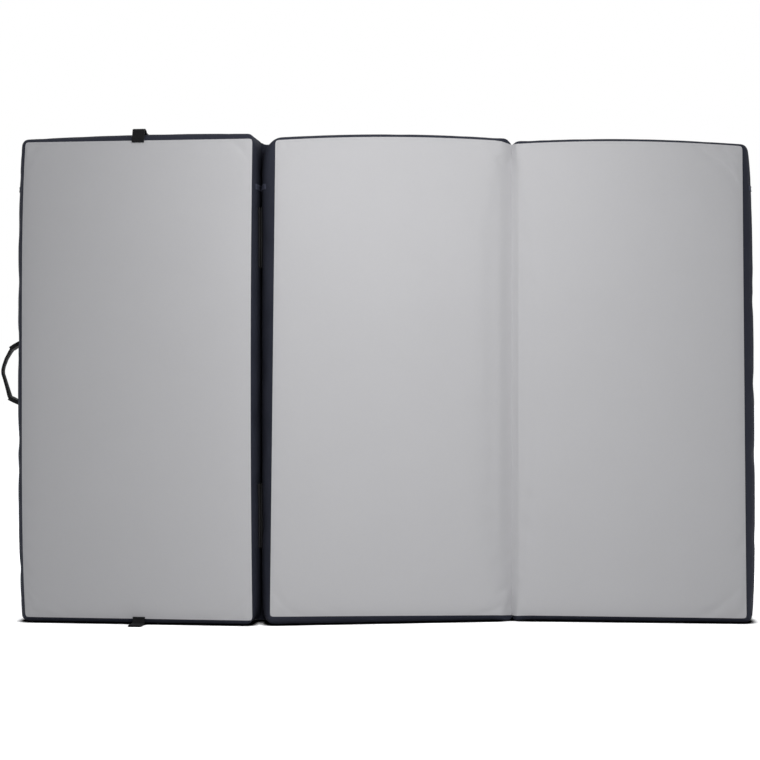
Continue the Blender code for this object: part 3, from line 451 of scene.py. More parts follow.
def measure_cloth(piece):
    """Give a piece its cloth measure in metres, by the side each face looks to, from a far zero."""
    mesh = piece.data
    layer = mesh.uv_layers.new(name="cloth")
    for face in mesh.polygons:
        n = face.normal
        side = max(range(3), key=lambda k: abs(n[k]))
        first, second = {0: (2, 1), 1: (0, 2), 2: (0, 1)}[side]
        for loop in face.loop_indices:
            spot = mesh.vertices[mesh.loops[loop].vertex_index].co
            layer.data[loop].uv = (spot[first] + FAR, spot[second] + FAR)


# The padded panels

COLUMNS, ROWS, RIBS = 40, 72, 12
# The share of the depth in which an edge rolls over, and how near the edge a fold shapes the cloth
ROLL, EDGE_ZONE = 0.3, 0.06
HALF_TURN = math.tan(math.radians((MIDDLE_YAW - RIGHT_YAW) / 2))
LANDING_TAG, UPPER_TAG, LOWER_TAG, BASE_TAG = 0, 1, 2, 3


def closer_at_ends(t):
    """Cells drawn closer together near the seams."""
    return t - 0.6 * math.sin(2 * math.pi * t) / (2 * math.pi)


def round_corner(dx, dz, radius):
    """Pull the square corner of an outline to an arc; dx and dz are distances from the two sides."""
    if dx >= radius or dz >= radius or radius <= 0:
        return dx, dz
    a, b = 1 - dx / radius, 1 - dz / radius
    return radius * (1 - a * math.sqrt(1 - b * b / 2)), radius * (1 - b * math.sqrt(1 - a * a / 2))


def ease(t):
    return t * t * (3 - 2 * t)


def inset_at(panel, side, front, t, a, c):
    """How far the cover lies in from a side of the panel; t runs from 0 at the seam to 1 on the wall."""
    upright = side in ("left", "right")
    wall = panel.end["tuck"] if upright else 0.0
    if side in panel.hinges:
        wall = SET_BACK
    share = 1 - math.sin(t * math.pi / 2)
    if front and side == panel.laps["front"]:
        seam = -(VALLEY_DEPTH + FOLD_GAP) * HALF_TURN
        share = 1 - t ** 4
    elif front:
        start, slope, bend, flare = panel.insets[side]
        s = c if upright else a
        seam = wall + start + slope * s + bend * s * s + flare * s ** 4
    else:
        seam = 0.0 if side == panel.laps["back"] else BASE_INSET + wall
    return wall + (seam - wall) * share


def corner_radius(panel, side, near_floor):
    """The radius of a wall's corner, at the foot or the top of a side."""
    if side not in panel.hinges:
        return END_RADIUS
    if near_floor and side == panel.laps["front"]:
        return FOOT_RADIUS
    if not near_floor and side == panel.laps["back"]:
        return TOP_RADIUS[panel.name]
    return CORNER_RADIUS


def fold_pull(front, near_floor, at_hinge):
    """How far a cloth's edge is drawn inwards, or let out, where it crosses a fold."""
    if front:
        return (-CREASE_DIP if near_floor else CREASE_DIP) * at_hinge ** 2
    if near_floor:
        return -FOLD_DROP * ease(min(1.0, 1.4 * at_hinge))
    return -FOLD_RISE * at_hinge ** 2


def cover_point(panel, u, v, w):
    """Where a point of the unit block lies on the panel's cover, in the panel's own axes."""
    front = v < 0.5
    kind = "front" if front else "back"
    lap = panel.laps[kind]
    inward = v if front else 1 - v
    t = min(1.0, inward / ROLL)
    lip = 1 - math.sin(t * math.pi / 2)
    u, w = closer_at_ends(u), closer_at_ends(w)
    inset = {side: inset_at(panel, side, front, t, 2 * u - 1, 2 * w - 1)
             for side in ("left", "right", "bottom", "top")}
    width = panel.high - panel.low
    x = inset["left"] + (width - inset["left"] - inset["right"]) * u
    z = inset["bottom"] + (HEIGHT - inset["bottom"] - inset["top"]) * w
    near_low, near_floor = x < width / 2, z < HEIGHT / 2
    side = "left" if near_low else "right"
    dx = x - inset["left"] if near_low else width - inset["right"] - x
    dz = z - inset["bottom"] if near_floor else HEIGHT - inset["top"] - z
    radius = corner_radius(panel, side, near_floor)
    radius += (SEAM_RADIUS - radius) * lip
    if side == lap:
        radius *= 1 - lip
    rx, rz = round_corner(dx, dz, radius)
    at_hinge = max(0.0, 1 - max(0.0, rx + inset[side]) / CORNER_ZONE)
    if side == lap:
        rz += fold_pull(front, near_floor, at_hinge) * lip * max(0.0, 1 - dz / EDGE_ZONE)
    x = inset["left"] + rx if near_low else width - inset["right"] - rx
    z = inset["bottom"] + rz if near_floor else HEIGHT - inset["top"] - rz
    x += panel.low
    rounding = FRONT_ROUND if front else BACK_ROUND
    if side == lap:
        rounding += (LAP_ROUND - rounding) * ease(max(0.0, 1 - dx / CORNER_ZONE))
    depth = rounding * (1 - math.cos(t * math.pi / 2))
    if t == 1.0:
        depth = rounding + (HALF - rounding) * (inward - ROLL) / (0.5 - ROLL)
    a = (2 * x - panel.low - panel.high) / width
    c = 2 * z / HEIGHT - 1
    shift = panel.top_shift(a)
    if side == lap:
        shift += (FOLD_SHIFT[kind] - shift) * lip * at_hinge ** 2
    z += shift * z / HEIGHT
    x -= panel.end_shift(x, a, c)
    y = -HALF + depth if front else HALF - depth
    from_fold = max(0.0, x - panel.low if panel.laps["front"] == "left" else panel.high - x)
    if front and panel.laps["front"] and from_fold < panel.valley:
        behind = BAND_BEHIND * min(1.0, 8 * v)
        y = max(y, -HALF + VALLEY_DEPTH * (1 - from_fold / panel.valley) ** 1.4 + behind)
    return Vector((x, y, z))


def padded_block(panel):
    """A panel as one closed padded form, with the cells of its cloth."""
    block = unit_block(f"{panel.name}_block", base_nylon, ((0, COLUMNS - 1), (2, ROWS - 1), (1, RIBS - 1)))
    mesh = block.data
    where = mesh.attributes.new("where", "FLOAT_VECTOR", "POINT")
    tag = mesh.attributes.new("cut_piece", "INT", "FACE")
    for face in mesh.polygons:
        cut = UPPER_TAG if closer_at_ends(face.center.z) * HEIGHT > JOIN else LOWER_TAG
        if abs(face.normal.y) > 0.5:
            cut = LANDING_TAG if face.normal.y < 0 else BASE_TAG
        tag.data[face.index].value = cut
    pins = block.vertex_groups.new(name="pins")
    for vertex in mesh.vertices:
        u, v, w = vertex.co
        where.data[vertex.index].vector = (u, v, w)
        if (u in (0, 1) or w in (0, 1)) and min(v, 1 - v) < 0.01:
            pins.add([vertex.index], 1.0, "REPLACE")
    swell(panel, block)
    return block


def swell(panel, block):
    """Shape the block as the cover lies, with its crowned faces."""
    mesh = block.data
    for vertex in mesh.vertices:
        u, v, w = vertex.co
        spot = cover_point(panel, u, v, w)
        if v < 0.001:
            spot.y -= panel.crown(LANDING_CROWN * 0.8, spot.x, spot.z)
        elif v > 0.999:
            spot.y += panel.crown(BASE_CROWN, spot.x, spot.z)
        vertex.co = spot
    mesh.update()


MOST_GIVE, FACE_GIVE = 0.006, 0.004
HINGE_WALL_SHARE, OUTER_WALL_SHARE = 0.12, 0.03


def puff(panel, block):
    """Let the cloth ripple under pressure, held at its seams, and keep as much as the foam allows."""
    rest = [vertex.co.copy() for vertex in block.data.vertices]
    where = [tuple(item.vector) for item in block.data.attributes["where"].data]
    cloth = block.modifiers.new("cloth", "CLOTH")
    settings = cloth.settings
    settings.quality = 5
    settings.mass = 0.3
    settings.tension_stiffness = 18
    settings.compression_stiffness = 18
    settings.shear_stiffness = 8
    settings.bending_stiffness = 0.4
    settings.use_pressure = True
    settings.uniform_pressure_force = 4
    settings.vertex_group_mass = "pins"
    settings.shrink_min = -0.006
    settings.effector_weights.gravity = 0
    cloth.collision_settings.use_collision = False
    cloth.point_cache.frame_start = 1
    cloth.point_cache.frame_end = 20
    for step in range(1, 21):
        bpy.context.scene.frame_set(step)
    apply_all(block)
    for vertex, start, (u, v, w) in zip(block.data.vertices, rest, where):
        move = vertex.co - start
        move *= MOST_GIVE * math.tanh(move.length / MOST_GIVE) / max(move.length, 1e-6)
        if v > 0.999:
            move.y = max(-0.002, min(0.0003, move.y))
        elif v > 0.001:
            move *= HINGE_WALL_SHARE if in_hinge(panel, u) else OUTER_WALL_SHARE
        else:
            move.y = FACE_GIVE * math.tanh(move.y / FACE_GIVE)
        if w < 0.001:
            move.z = max(0.0, min(0.0006, move.z))
        vertex.co = start + move
    block.data.update()


def in_hinge(panel, u):
    """Whether a point lies on a wall that faces another panel."""
    return (u < 0.001 and "left" in panel.hinges) or (u > 0.999 and "right" in panel.hinges)


def mark_painted_seam_light(panel, block):
    """Mark the points of the cover where its colour changes at a sewn edge: painted highlight along the
    landing face's seams, painted shade along the outer side bands' edges, and a darker tone along the base's
    seams.
    """
    block.data.attributes.new("seam", "FLOAT", "POINT")
    shade_of = block.data.attributes["seam"].data
    where = block.data.attributes["where"].data
    for item, spot in zip(shade_of, where):
        u, v, w = spot.vector
        lap = panel.laps["front" if v < 0.5 else "back"]
        sides = {"left": u, "right": 1 - u, "bottom": w, "top": 1 - w}
        near = min(distance for side, distance in sides.items() if side != lap)
        if v < 0.001 or v > 0.999:
            item.value = 1.0 if near < 0.5 / COLUMNS else 0.0
        # Walls that face another panel are left unmarked, so only the outer bands get the painted shade at
        # their edges.
        elif not in_hinge(panel, u):
            item.value = 1.0 if min(v, 1 - v) < 1.5 / RIBS else 0.0


def take_cloth(block, tag, name, material):
    """A copy of the block with only one of its cloths left."""
    piece = block.copy()
    piece.data = block.data.copy()
    bpy.context.scene.collection.objects.link(piece)
    pick(piece)
    name_piece(name, material)
    grid = bmesh.new()
    grid.from_mesh(piece.data)
    layer = grid.faces.layers.int["cut_piece"]
    bmesh.ops.delete(grid, geom=[face for face in grid.faces if face[layer] != tag], context="FACES")
    grid.to_mesh(piece.data)
    grid.free()
    piece.vertex_groups.clear()
    fine = piece.modifiers.new("fine cloth", "SUBSURF")
    fine.levels = fine.render_levels = 1
    fine.boundary_smooth = "PRESERVE_CORNERS"
    apply_all(piece)
    return piece


def tuck_behind(panel, band):
    """Keep a band's edge behind the landing cloth where that cloth runs on over the crease."""
    at_fold = {"left": 0, "right": 1}.get(panel.laps["front"])
    for vertex, spot in zip(band.data.vertices, band.data.attributes["where"].data):
        u, v, w = spot.vector
        if at_fold is not None and abs(u - at_fold) < 0.001 and v < ROLL_UNDER:
            vertex.co.y += EDGE_TUCK * (1 - v / ROLL_UNDER)


panel_pieces = {}
for panel in (left, middle, right):
    block = padded_block(panel)
    puff(panel, block)
    mark_painted_seam_light(panel, block)
    for tag, word, material in (
        (LANDING_TAG, "landing", landing_nylon), (UPPER_TAG, "upper_band", side_nylon),
        (LOWER_TAG, "lower_band", side_nylon), (BASE_TAG, "base", base_nylon),
    ):
        piece = take_cloth(block, tag, f"{panel.name}_{word}_cloth", material)
        if word.endswith("band"):
            tuck_behind(panel, piece)
        measure_cloth(piece)
        settle(piece, panel)
        smooth(piece, 60)
        panel_pieces[panel.name, word] = piece
    bpy.data.objects.remove(block, do_unlink=True)


def sew_together(first, second, name):
    """Join two panels' cloth into the one sheet that crosses the fold between them."""
    pick(first)
    second.select_set(True)
    bpy.ops.object.join()
    work_all(first, bpy.ops.mesh.remove_doubles, threshold=0.0018)
    smooth(first, 18)
    first.name = first.data.name = name
    return first


def dress(piece, body, nodes=()):
    """Hang a finished piece on its body, and hide the solids that it stands for."""
    if body:
        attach(piece, body)
    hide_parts(*nodes)


for name, first, second, hinge, word, solid in (
    ("landing_cloth_over_crease", middle, right, hinge_2, "landing", "landing_sheet"),
    ("base_cloth_over_fold", left, middle, hinge_1, "base", "base_sheet"),
):
    cloth = sew_together(panel_pieces[first.name, word], panel_pieces[second.name, word], name)
    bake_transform(cloth)
    dress(cloth, None, [f"{first.name}_{solid}", f"{second.name}_{solid}"])
dress(panel_pieces["left", "landing"], "left_panel", ["left_landing_sheet"])
dress(panel_pieces["right", "base"], "right_panel", ["right_base_sheet"])
for panel in (left, middle, right):
    for word in ("upper_band", "lower_band"):
        dress(panel_pieces[panel.name, word], panel.body, [f"{panel.name}_{word}"])

FINISHES = {"foam": firm_foam, "core": soft_foam, "strip": pile_tape, "hook": hook_metal,
            "slider": slider_metal, "zip": coil_nylon, "lock": buckle_nylon, "buckle": buckle_nylon,
            "patch": base_nylon, "yoke": base_nylon, "shoulder": strap_mesh, "": black_webbing}
for node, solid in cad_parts.items():
    solid.data.materials.clear()
    solid.data.materials.append(next(FINISHES[word] for word in FINISHES if word in node))


# What the covers hold

FIRM_FOAM = 0.025
FOAM_EASE = 0.009
FOAM_FRONT, FOAM_BACK = 0.0085, 0.006


def foam_block(panel, firm):
    """One layer of foam, cut smaller than its cover, with soft cut edges."""
    kind = "firm_foam" if firm else "soft_core"
    block = unit_block(f"{panel.name}_{kind}_block", firm_foam if firm else soft_foam, ((0, 9), (2, 17)))
    width = panel.high - panel.low
    seat = -HALF + FOAM_FRONT + FIRM_FOAM
    for vertex in block.data.vertices:
        u, v, w = vertex.co
        x = panel.low + FOAM_EASE + (width - 2 * FOAM_EASE) * u
        a, c = (2 * x - panel.low - panel.high) / width, 2 * w - 1
        z = FOAM_EASE + (HEIGHT + panel.top_shift(a) - 2 * FOAM_EASE) * w
        near = -HALF + FOAM_FRONT - panel.crown(LANDING_CROWN * 0.7, x, z)
        far = HALF - FOAM_BACK + panel.crown(BASE_CROWN * 0.7, x, z)
        near, far = (near, seat) if firm else (seat + GAP, far)
        x -= panel.end_shift(x, a, c)
        vertex.co = (x, near + (far - near) * v, z)
    settle(block, panel)
    round_edges(block, 0.009, 3)
    smooth(block, 40)
    dress(block, panel.body, [f"{panel.name}_{kind}"])


for panel in (left, middle, right):
    foam_block(panel, True)
    foam_block(panel, False)


# Laying pieces on the cloth

covers = {
    ("left", "front"): [panel_pieces["left", "landing"]],
    ("right", "back"): [panel_pieces["right", "base"]],
}
covers["middle", "front"] = covers["right", "front"] = [bpy.data.objects["landing_cloth_over_crease"]]
covers["left", "back"] = covers["middle", "back"] = [bpy.data.objects["base_cloth_over_fold"]]
for panel in (left, middle, right):
    bands = [panel_pieces[panel.name, "upper_band"], panel_pieces[panel.name, "lower_band"]]
    covers[panel.name, "left"] = covers[panel.name, "right"] = bands
OUTWARD = {"front": Vector((0, -1, 0)), "back": Vector((0, 1, 0)),
           "left": Vector((-1, 0, 0)), "right": Vector((1, 0, 0))}


def on_face(panel, face, p, q, clear=0.0, over=()):
    """Where a point, given along and up a face, comes to rest on the face or on what is sewn there."""
    nominal = Vector({"back": (p, HALF, q), "front": (p, -HALF, q),
                      "left": (panel.low, p, q), "right": (panel.high, p, q)}[face])
    out = OUTWARD[face]
    start = panel.place @ (nominal + out * 0.04)
    look = panel.place.to_3x3() @ -out
    rests = []
    for piece in list(over) + covers[panel.name, face]:
        found, hit, normal, cell = piece.ray_cast(start, look)
        if found:
            rests.append(hit)
    if not rests:
        return nominal
    return panel.place.inverted() @ min(rests, key=lambda hit: (hit - start).length) + out * clear


def face_out(piece, out):
    """Turn the faces of an open cloth to look outwards."""
    if sum((face.normal * face.area for face in piece.data.polygons), Vector()).dot(out) < 0:
        work_all(piece, bpy.ops.mesh.flip_normals)


def thicken(piece, thickness, offset, bevel):
    wall = piece.modifiers.new("thickness", "SOLIDIFY")
    wall.thickness = thickness
    wall.offset = offset
    round_edges(piece, bevel)
    smooth(piece, 45)
    bpy.context.view_layer.update()


HEM_RISE, HEM_WIDTH = 0.0004, 0.009


def sewn_cloth(name, panel, face, middle_of, size, thickness, material, hem=0.0, corner=0.006, over=()):
    """A cloth cut with round corners and laid on a face of a panel, its hem turned under and sewn flat."""
    cells = [max(2, round(length / 0.0027)) for length in size]
    start_piece()
    bpy.ops.mesh.primitive_grid_add(x_subdivisions=cells[0], y_subdivisions=cells[1], size=1, calc_uvs=False)
    piece = name_piece(name, material)
    for vertex in piece.data.vertices:
        p, q = vertex.co.x * size[0], vertex.co.y * size[1]
        dp, dq = round_corner(size[0] / 2 - abs(p), size[1] / 2 - abs(q), corner)
        p = math.copysign(size[0] / 2 - dp, p)
        q = math.copysign(size[1] / 2 - dq, q)
        from_edge = min(dp, dq)
        turned = max(0.0, min(1.0, (HEM_WIDTH + 0.002 - from_edge) / 0.002))
        pinch = math.exp(-((from_edge - 0.005) / 0.0012) ** 2)
        rise = thickness + hem * turned - 0.0003 * pinch
        vertex.co = on_face(panel, face, middle_of[0] + p, middle_of[1] + q, rise, over)
    piece.data.update()
    face_out(piece, OUTWARD[face])
    measure_cloth(piece)
    settle(piece, panel)
    thicken(piece, thickness, -1.0, thickness * 0.3)
    return piece


def set_closer(points, step=0.008, cuts=1):
    """The points of a route set closer together, with its corners eased."""
    spots = [Vector(points[0])]
    for point in points[1:]:
        start, end = spots[-1], Vector(point)
        parts = max(1, math.ceil((end - start).length / step))
        spots += [start.lerp(end, (k + 1) / parts) for k in range(parts)]
    for cut in range(cuts):
        eased = [spots[0]]
        for here, there in zip(spots, spots[1:]):
            eased += [here.lerp(there, 0.25), here.lerp(there, 0.75)]
        spots = eased + [spots[-1]]
    return spots


def tape(name, panel, route, width, thickness, across, material, waist=1.0):
    """Webbing drawn out step by step along its route; waist narrows it towards its middle."""
    side = Vector(across).normalized()
    start_piece()
    bpy.ops.mesh.primitive_plane_add(size=2, calc_uvs=False)
    piece = name_piece(name, material)
    far = {vertex.index for vertex in piece.data.vertices if vertex.co.y > 0}
    for vertex in piece.data.vertices:
        vertex.co = route[1 if vertex.index in far else 0] + side * vertex.co.x * width / 2
    bpy.ops.object.mode_set(mode="EDIT")
    bpy.ops.mesh.select_mode(type="EDGE")
    bpy.ops.mesh.select_all(action="DESELECT")
    grid = bmesh.from_edit_mesh(piece.data)
    for edge in grid.edges:
        edge.select = all(vert.index in far for vert in edge.verts)
    bmesh.update_edit_mesh(piece.data)
    for here, there in zip(route[1:], route[2:]):
        bpy.ops.mesh.extrude_region_move(TRANSFORM_OT_translate={"value": there - here})
    bpy.ops.object.mode_set(mode="OBJECT")
    travelled = [0.0]
    for here, there in zip(route, route[1:]):
        travelled.append(travelled[-1] + (there - here).length)
    station = {}
    for vertex in piece.data.vertices:
        k = vertex.index
        place = 2 + (k - 4) // 2 if k > 3 else int(k in far)
        station[k] = place
        share = travelled[place] / travelled[-1]
        narrow = 1 - (1 - waist) * math.sin(math.pi * share) ** 0.6
        sign = 1 if (vertex.co - route[place]).dot(side) > 0 else -1
        vertex.co = route[place] + side * sign * width / 2 * narrow
    layer = piece.data.uv_layers.new(name="cloth")
    for loop in piece.data.loops:
        place = station[loop.vertex_index]
        across_it = (piece.data.vertices[loop.vertex_index].co - route[place]).dot(side)
        layer.data[loop.index].uv = (across_it + FAR, travelled[place] + FAR)
    piece.data.update()
    settle(piece, panel)
    thicken(piece, thickness, 0.0, thickness * 0.35)
    return piece


# The length of a stitch round the faces, and on the smaller pieces
WIDE_PITCH, CLOSE_PITCH = 0.0042, 0.0036


def sew(name, rows, thread, pitch=WIDE_PITCH, fill=0.74, thick=0.0009, wide=None):
    """Rows of stitches: one stitch, repeated along each row and bent to lie on it."""
    rows_made = []
    for row in rows:
        length = sum((there - here).length for here, there in zip(row, row[1:]))
        count = max(2, int(length / pitch))
        start_piece()
        bpy.ops.mesh.primitive_uv_sphere_add(segments=6, ring_count=4, radius=0.5, calc_uvs=False)
        stitch = name_piece(name, thread)
        for vertex in stitch.data.vertices:
            x, y, z = vertex.co
            vertex.co = ((x * fill + 0.5) * pitch, y * thick, z * (wide or thick))
        guide = thread_through("row", row)
        guide.data.twist_mode = "Z_UP" if wide else "MINIMUM"
        again = stitch.modifiers.new("again", "ARRAY")
        again.count = count
        again.use_relative_offset = False
        again.use_constant_offset = True
        again.constant_offset_displace = (length / count, 0, 0)
        lie = stitch.modifiers.new("lie", "CURVE")
        lie.object = guide
        apply_all(stitch)
        line = guide.data
        bpy.data.objects.remove(guide, do_unlink=True)
        bpy.data.curves.remove(line)
        rows_made.append(stitch)
    piece = rows_made[0]
    pick(piece)
    for stitch in rows_made[1:]:
        stitch.select_set(True)
    if len(rows_made) > 1:
        bpy.ops.object.join()
    piece.name = piece.data.name = name
    smooth(piece, 60)
    return piece


def lie_on(piece, spots, lift=0.0002):
    """The nearest places on a piece's surface, a little proud of it."""
    places = []
    for spot in spots:
        found, place, normal, cell = piece.closest_point_on_mesh(spot)
        places.append(place + normal * lift)
    return places


def straight_row(start, end, step=0.004):
    start, end = Vector(start), Vector(end)
    parts = max(1, round((end - start).length / step))
    return [start.lerp(end, k / parts) for k in range(parts + 1)]


def ring_row(middle_of, size, inset):
    """Places round a patch or the end of a webbing, a little inside its edge."""
    half = (size[0] / 2 - inset, size[1] / 2 - inset)
    turns = [(-1, -1), (1, -1), (1, 1), (-1, 1), (-1, -1)]
    spots = [Vector((middle_of[0] + p * half[0], middle_of[1] + q * half[1])) for p, q in turns]
    row = [spots[0]]
    for here, there in zip(spots, spots[1:]):
        row += straight_row(here, there)[1:]
    return row


def crossed_box(middle_of, size, inset):
    """A box stitch with its cross."""
    half = (size[0] / 2 - inset, size[1] / 2 - inset)
    p, q = middle_of
    return [
        ring_row(middle_of, size, inset),
        straight_row((p - half[0], q - half[1]), (p + half[0], q + half[1])),
        straight_row((p - half[0], q + half[1]), (p + half[0], q - half[1])),
    ]


def sew_flat(name, panel, face, piece, rows, thread):
    """Sew rows, drawn along and up a face, onto the outside of a piece that lies there."""
    laid = []
    for row in rows:
        spots = [panel.place @ on_face(panel, face, p, q, 0.012, (piece,)) for p, q in row]
        laid.append(lie_on(piece, spots))
    dress(sew(name, laid, thread, CLOSE_PITCH), panel.body)


# Seams round the faces, and the join between the upper and lower side bands

def rows_of(near, count=60):
    return [near + (1 - 2 * near) * k / count for k in range(count + 1)]


def seam_route(panel, v, near_u, near_w):
    """Places round a face just inside its seam, open where the cloth crosses a fold."""
    lap = panel.laps["front" if v < 0.5 else "back"]
    start, end = near_u, 1 - near_u
    sides = [[(start, w) for w in rows_of(near_w)], [(u, 1 - near_w) for u in rows_of(near_u)],
             [(end, w) for w in reversed(rows_of(near_w))], [(u, near_w) for u in reversed(rows_of(near_u))]]
    if lap == "left":
        order = sides[1] + sides[2] + sides[3]
        order = [(max(u, 0.06), w) for u, w in order]
    elif lap == "right":
        order = list(reversed(sides[1])) + list(reversed(sides[0])) + list(reversed(sides[3]))
        order = [(min(u, 0.94), w) for u, w in order]
    else:
        order = sides[0] + sides[1] + sides[2] + sides[3] + sides[0][:1]
    route = []
    for u, w in order:
        spot = panel.place @ cover_point(panel, u, v, w)
        if not route or (spot - route[-1]).length > 0.001:
            route.append(spot)
    return route


for panel in (left, middle, right):
    for face, v, thread, word in (
        ("front", 0.0, pale_thread, "landing"),
        ("back", 1.0, slate_thread, "base"),
    ):
        away = panel.place.to_3x3() @ OUTWARD[face] * 0.006
        lifted = [spot + away for spot in seam_route(panel, v, 0.020, 0.0100)]
        row = lie_on(covers[panel.name, face][0], lifted, 0.0)
        dress(sew(f"{panel.name}_{word}_stitches", [row], thread), panel.body)

FELL_HEIGHT, FELL_WIDTH, FELL_REACH = 0.8925, 0.011, 0.060
for panel in (left, middle, right):
    for face in ("left", "right"):
        if panel.laps["front"] == face:
            continue
        node = f"{panel.name}_{face}_side_fell"
        fell = sewn_cloth(node, panel, face, (0.001, FELL_HEIGHT), (FELL_REACH, FELL_WIDTH),
                          0.0009, side_nylon, 0.0, 0.001)
        dress(fell, panel.body)
        end = FELL_REACH / 2 - 0.002
        rows = [straight_row((-end, FELL_HEIGHT + rise), (end, FELL_HEIGHT + rise))
                for rise in (-0.0042, 0.0042)]
        sew_flat(node + "_stitches", panel, face, fell, rows, slate_thread)


# Closure strips, tabs and the side handle

for panel, face in ((left, "right"), (middle, "left")):
    for word, height, length in (("upper", 0.7905, 0.124), ("lower", 0.2200, 0.132)):
        node = f"{panel.name}_{word}_closure_strip"
        spot, size = (0.010, height), (0.038, length)
        strip = sewn_cloth(node + "_pile", panel, face, spot, size, 0.0019, pile_tape, 0.0, 0.003)
        dress(strip, panel.body, [node])
        rows = [ring_row(spot, size, 0.0022)]
        sew_flat(node + "_stitches", panel, face, strip, rows, black_thread)

TAB, TAB_WIDTH = 0.003, 0.025


def closure_tab(node, x, places):
    """A tab of webbing sewn to the left panel's front seam, from its places across and up."""
    route = set_closer([(x, y, z) for y, z in places], 0.004, 2)
    tab = tape(node + "_webbing", left, route, TAB_WIDTH, TAB, (1, 0, 0), black_webbing)
    dress(tab, "left_panel", [node])


front_y = -HALF - TAB / 2 - GAP
crown_z = HEIGHT + left.top["lift"]
seam_z, crest, lying = crown_z - 0.0145, crown_z + 0.0095, crown_z + TAB / 2 + GAP
closure_tab("closure_tab_top", left.middle + 0.0105, (
    (front_y, seam_z - 0.004), (front_y, seam_z + 0.004), (front_y + 0.0035, (seam_z + crest) / 2),
    (-HALF + 0.004, crest - 0.002), (-HALF + 0.009, crest), (-HALF + 0.017, crest - 0.0015),
    (-HALF + 0.024, crown_z + TAB), (-HALF + 0.032, lying), (-HALF + 0.046, lying)))
seam_z, lying = 0.0112, 0.0021
closure_tab("closure_tab_bottom", left.middle + 0.0125, (
    (front_y, seam_z + 0.004), (front_y - GAP, seam_z - 0.003), (front_y - 0.004, 0.0027),
    (front_y - 0.012, lying), (front_y - 0.038, lying)))

HANDLE_HEIGHT = 0.512
wall = on_face(left, "left", 0, HANDLE_HEIGHT).x
for word, sewn_at, places in (
    ("upper", 0.068, ((-0.002, 0.0635), (0.0085, 0.0580), (0.0185, 0.0515))),
    ("lower", -0.068, ((-0.002, -0.0618), (0.0100, -0.0570), (0.0215, -0.0512))),
):
    route = set_closer([(wall - reach, 0, HANDLE_HEIGHT + rise) for reach, rise in places], 0.003, 2)
    anchor = tape(f"handle_{word}_anchor_webbing", left, route, 0.026, 0.0080, (0, 1, 0), black_webbing)
    dress(anchor, "left_panel", [f"handle_{word}_anchor"])
    rows = []
    for x in (wall - 0.0045, wall - 0.0080):
        row = straight_row((x, -0.011, HANDLE_HEIGHT + sewn_at), (x, 0.011, HANDLE_HEIGHT + sewn_at))
        rows.append(lie_on(anchor, [left.place @ spot for spot in row]))
    dress(sew(f"handle_{word}_anchor_stitches", rows, black_thread, CLOSE_PITCH), "left_panel")
bow = ((0.0120, 0.0530), (0.0175, 0.0505), (0.0215, 0.0450), (0.0300, 0.0305), (0.0358, 0.0150),
       (0.0376, 0.0067), (0.0373, -0.0010), (0.0338, -0.0113), (0.0284, -0.0291), (0.0230, -0.0470),
       (0.0212, -0.0505), (0.0150, -0.0530))
route = set_closer([(wall - reach, 0, HANDLE_HEIGHT + rise) for reach, rise in bow], 0.005, 2)
grip = tape("side_handle_grip", left, route, 0.025, 0.0046, (0, 1, 0), black_webbing, 0.46)
dress(grip, "side_handle", ["side_handle"])
rows = [lie_on(grip, [left.place @ (spot + Vector((-0.006, shift, 0))) for spot in route[14:-14]])
        for shift in (-0.0032, 0.0032)]
dress(sew("side_handle_stitches", rows, slate_thread, CLOSE_PITCH), "side_handle")


# The zips

ZIP_LENGTH, ZIP_HEIGHT, ZIP_TAPE = 0.360, 0.060, 0.028


def along_zip(panel, inset, rise, step=0.004):
    """A row along a panel's zip that stops short of both ends."""
    start, end = panel.middle - ZIP_LENGTH / 2 + inset, panel.middle + ZIP_LENGTH / 2 - inset
    return straight_row((start, ZIP_HEIGHT + rise), (end, ZIP_HEIGHT + rise), step)


for panel in (left, middle, right):
    ribbon = sewn_cloth(f"{panel.name}_zip_tape", panel, "back", (panel.middle, ZIP_HEIGHT),
                        (ZIP_LENGTH, ZIP_TAPE), 0.0009, zip_tape, 0.0, 0.002)
    dress(ribbon, panel.body, [f"{panel.name}_zip"])
    spots = [panel.place @ on_face(panel, "back", p, q, 0.0007, (ribbon,))
             for p, q in along_zip(panel, 0.004, 0.0, 0.012)]
    coil = sew(f"{panel.name}_zip_coil", [spots], coil_nylon, 0.0016, 0.85, 0.0022, 0.0056)
    dress(coil, panel.body)
    rows = [along_zip(panel, 0.003, rise) for rise in (-0.0115, 0.0115)]
    sew_flat(f"{panel.name}_zip_stitches", panel, "back", ribbon, rows, slate_thread)


# The harness on the right panel's back

YOKE_MIDDLE, YOKE_WIDTH, YOKE_HEIGHT = 0.810, 0.270, 0.100
STRAP_SPREAD, STRAP_WIDTH, STRAP_THICKNESS, STRAP_EDGE = 0.180, 0.064, 0.013, 0.0042
STRAP_TOP, STRAP_LENGTH, STRAP_SWEEP, ONTO_YOKE = 0.745, 0.290, 0.012, 0.026
STRAP_BOTTOM = STRAP_TOP - STRAP_LENGTH
STRAP_CORNER, STRAP_TAPER, QUILT_LINE, QUILT_DEPTH = 0.016, 0.064, 0.0175, 0.0022
PATCH_SIDE = 0.060
LOCK_BAR, LOCK_SLOT, LOCK_THICKNESS, LOCK_DROP = 0.0050, 0.0072, 0.0044, 0.032
ANCHOR_HEIGHT, SEWN_END, WEB_TAIL, WEB_RETURN = 0.335, 0.012, 0.085, 0.030
BACK, UP, DOWN = OUTWARD["back"], Vector((0, 0, 1)), Vector((0, 0, -1))


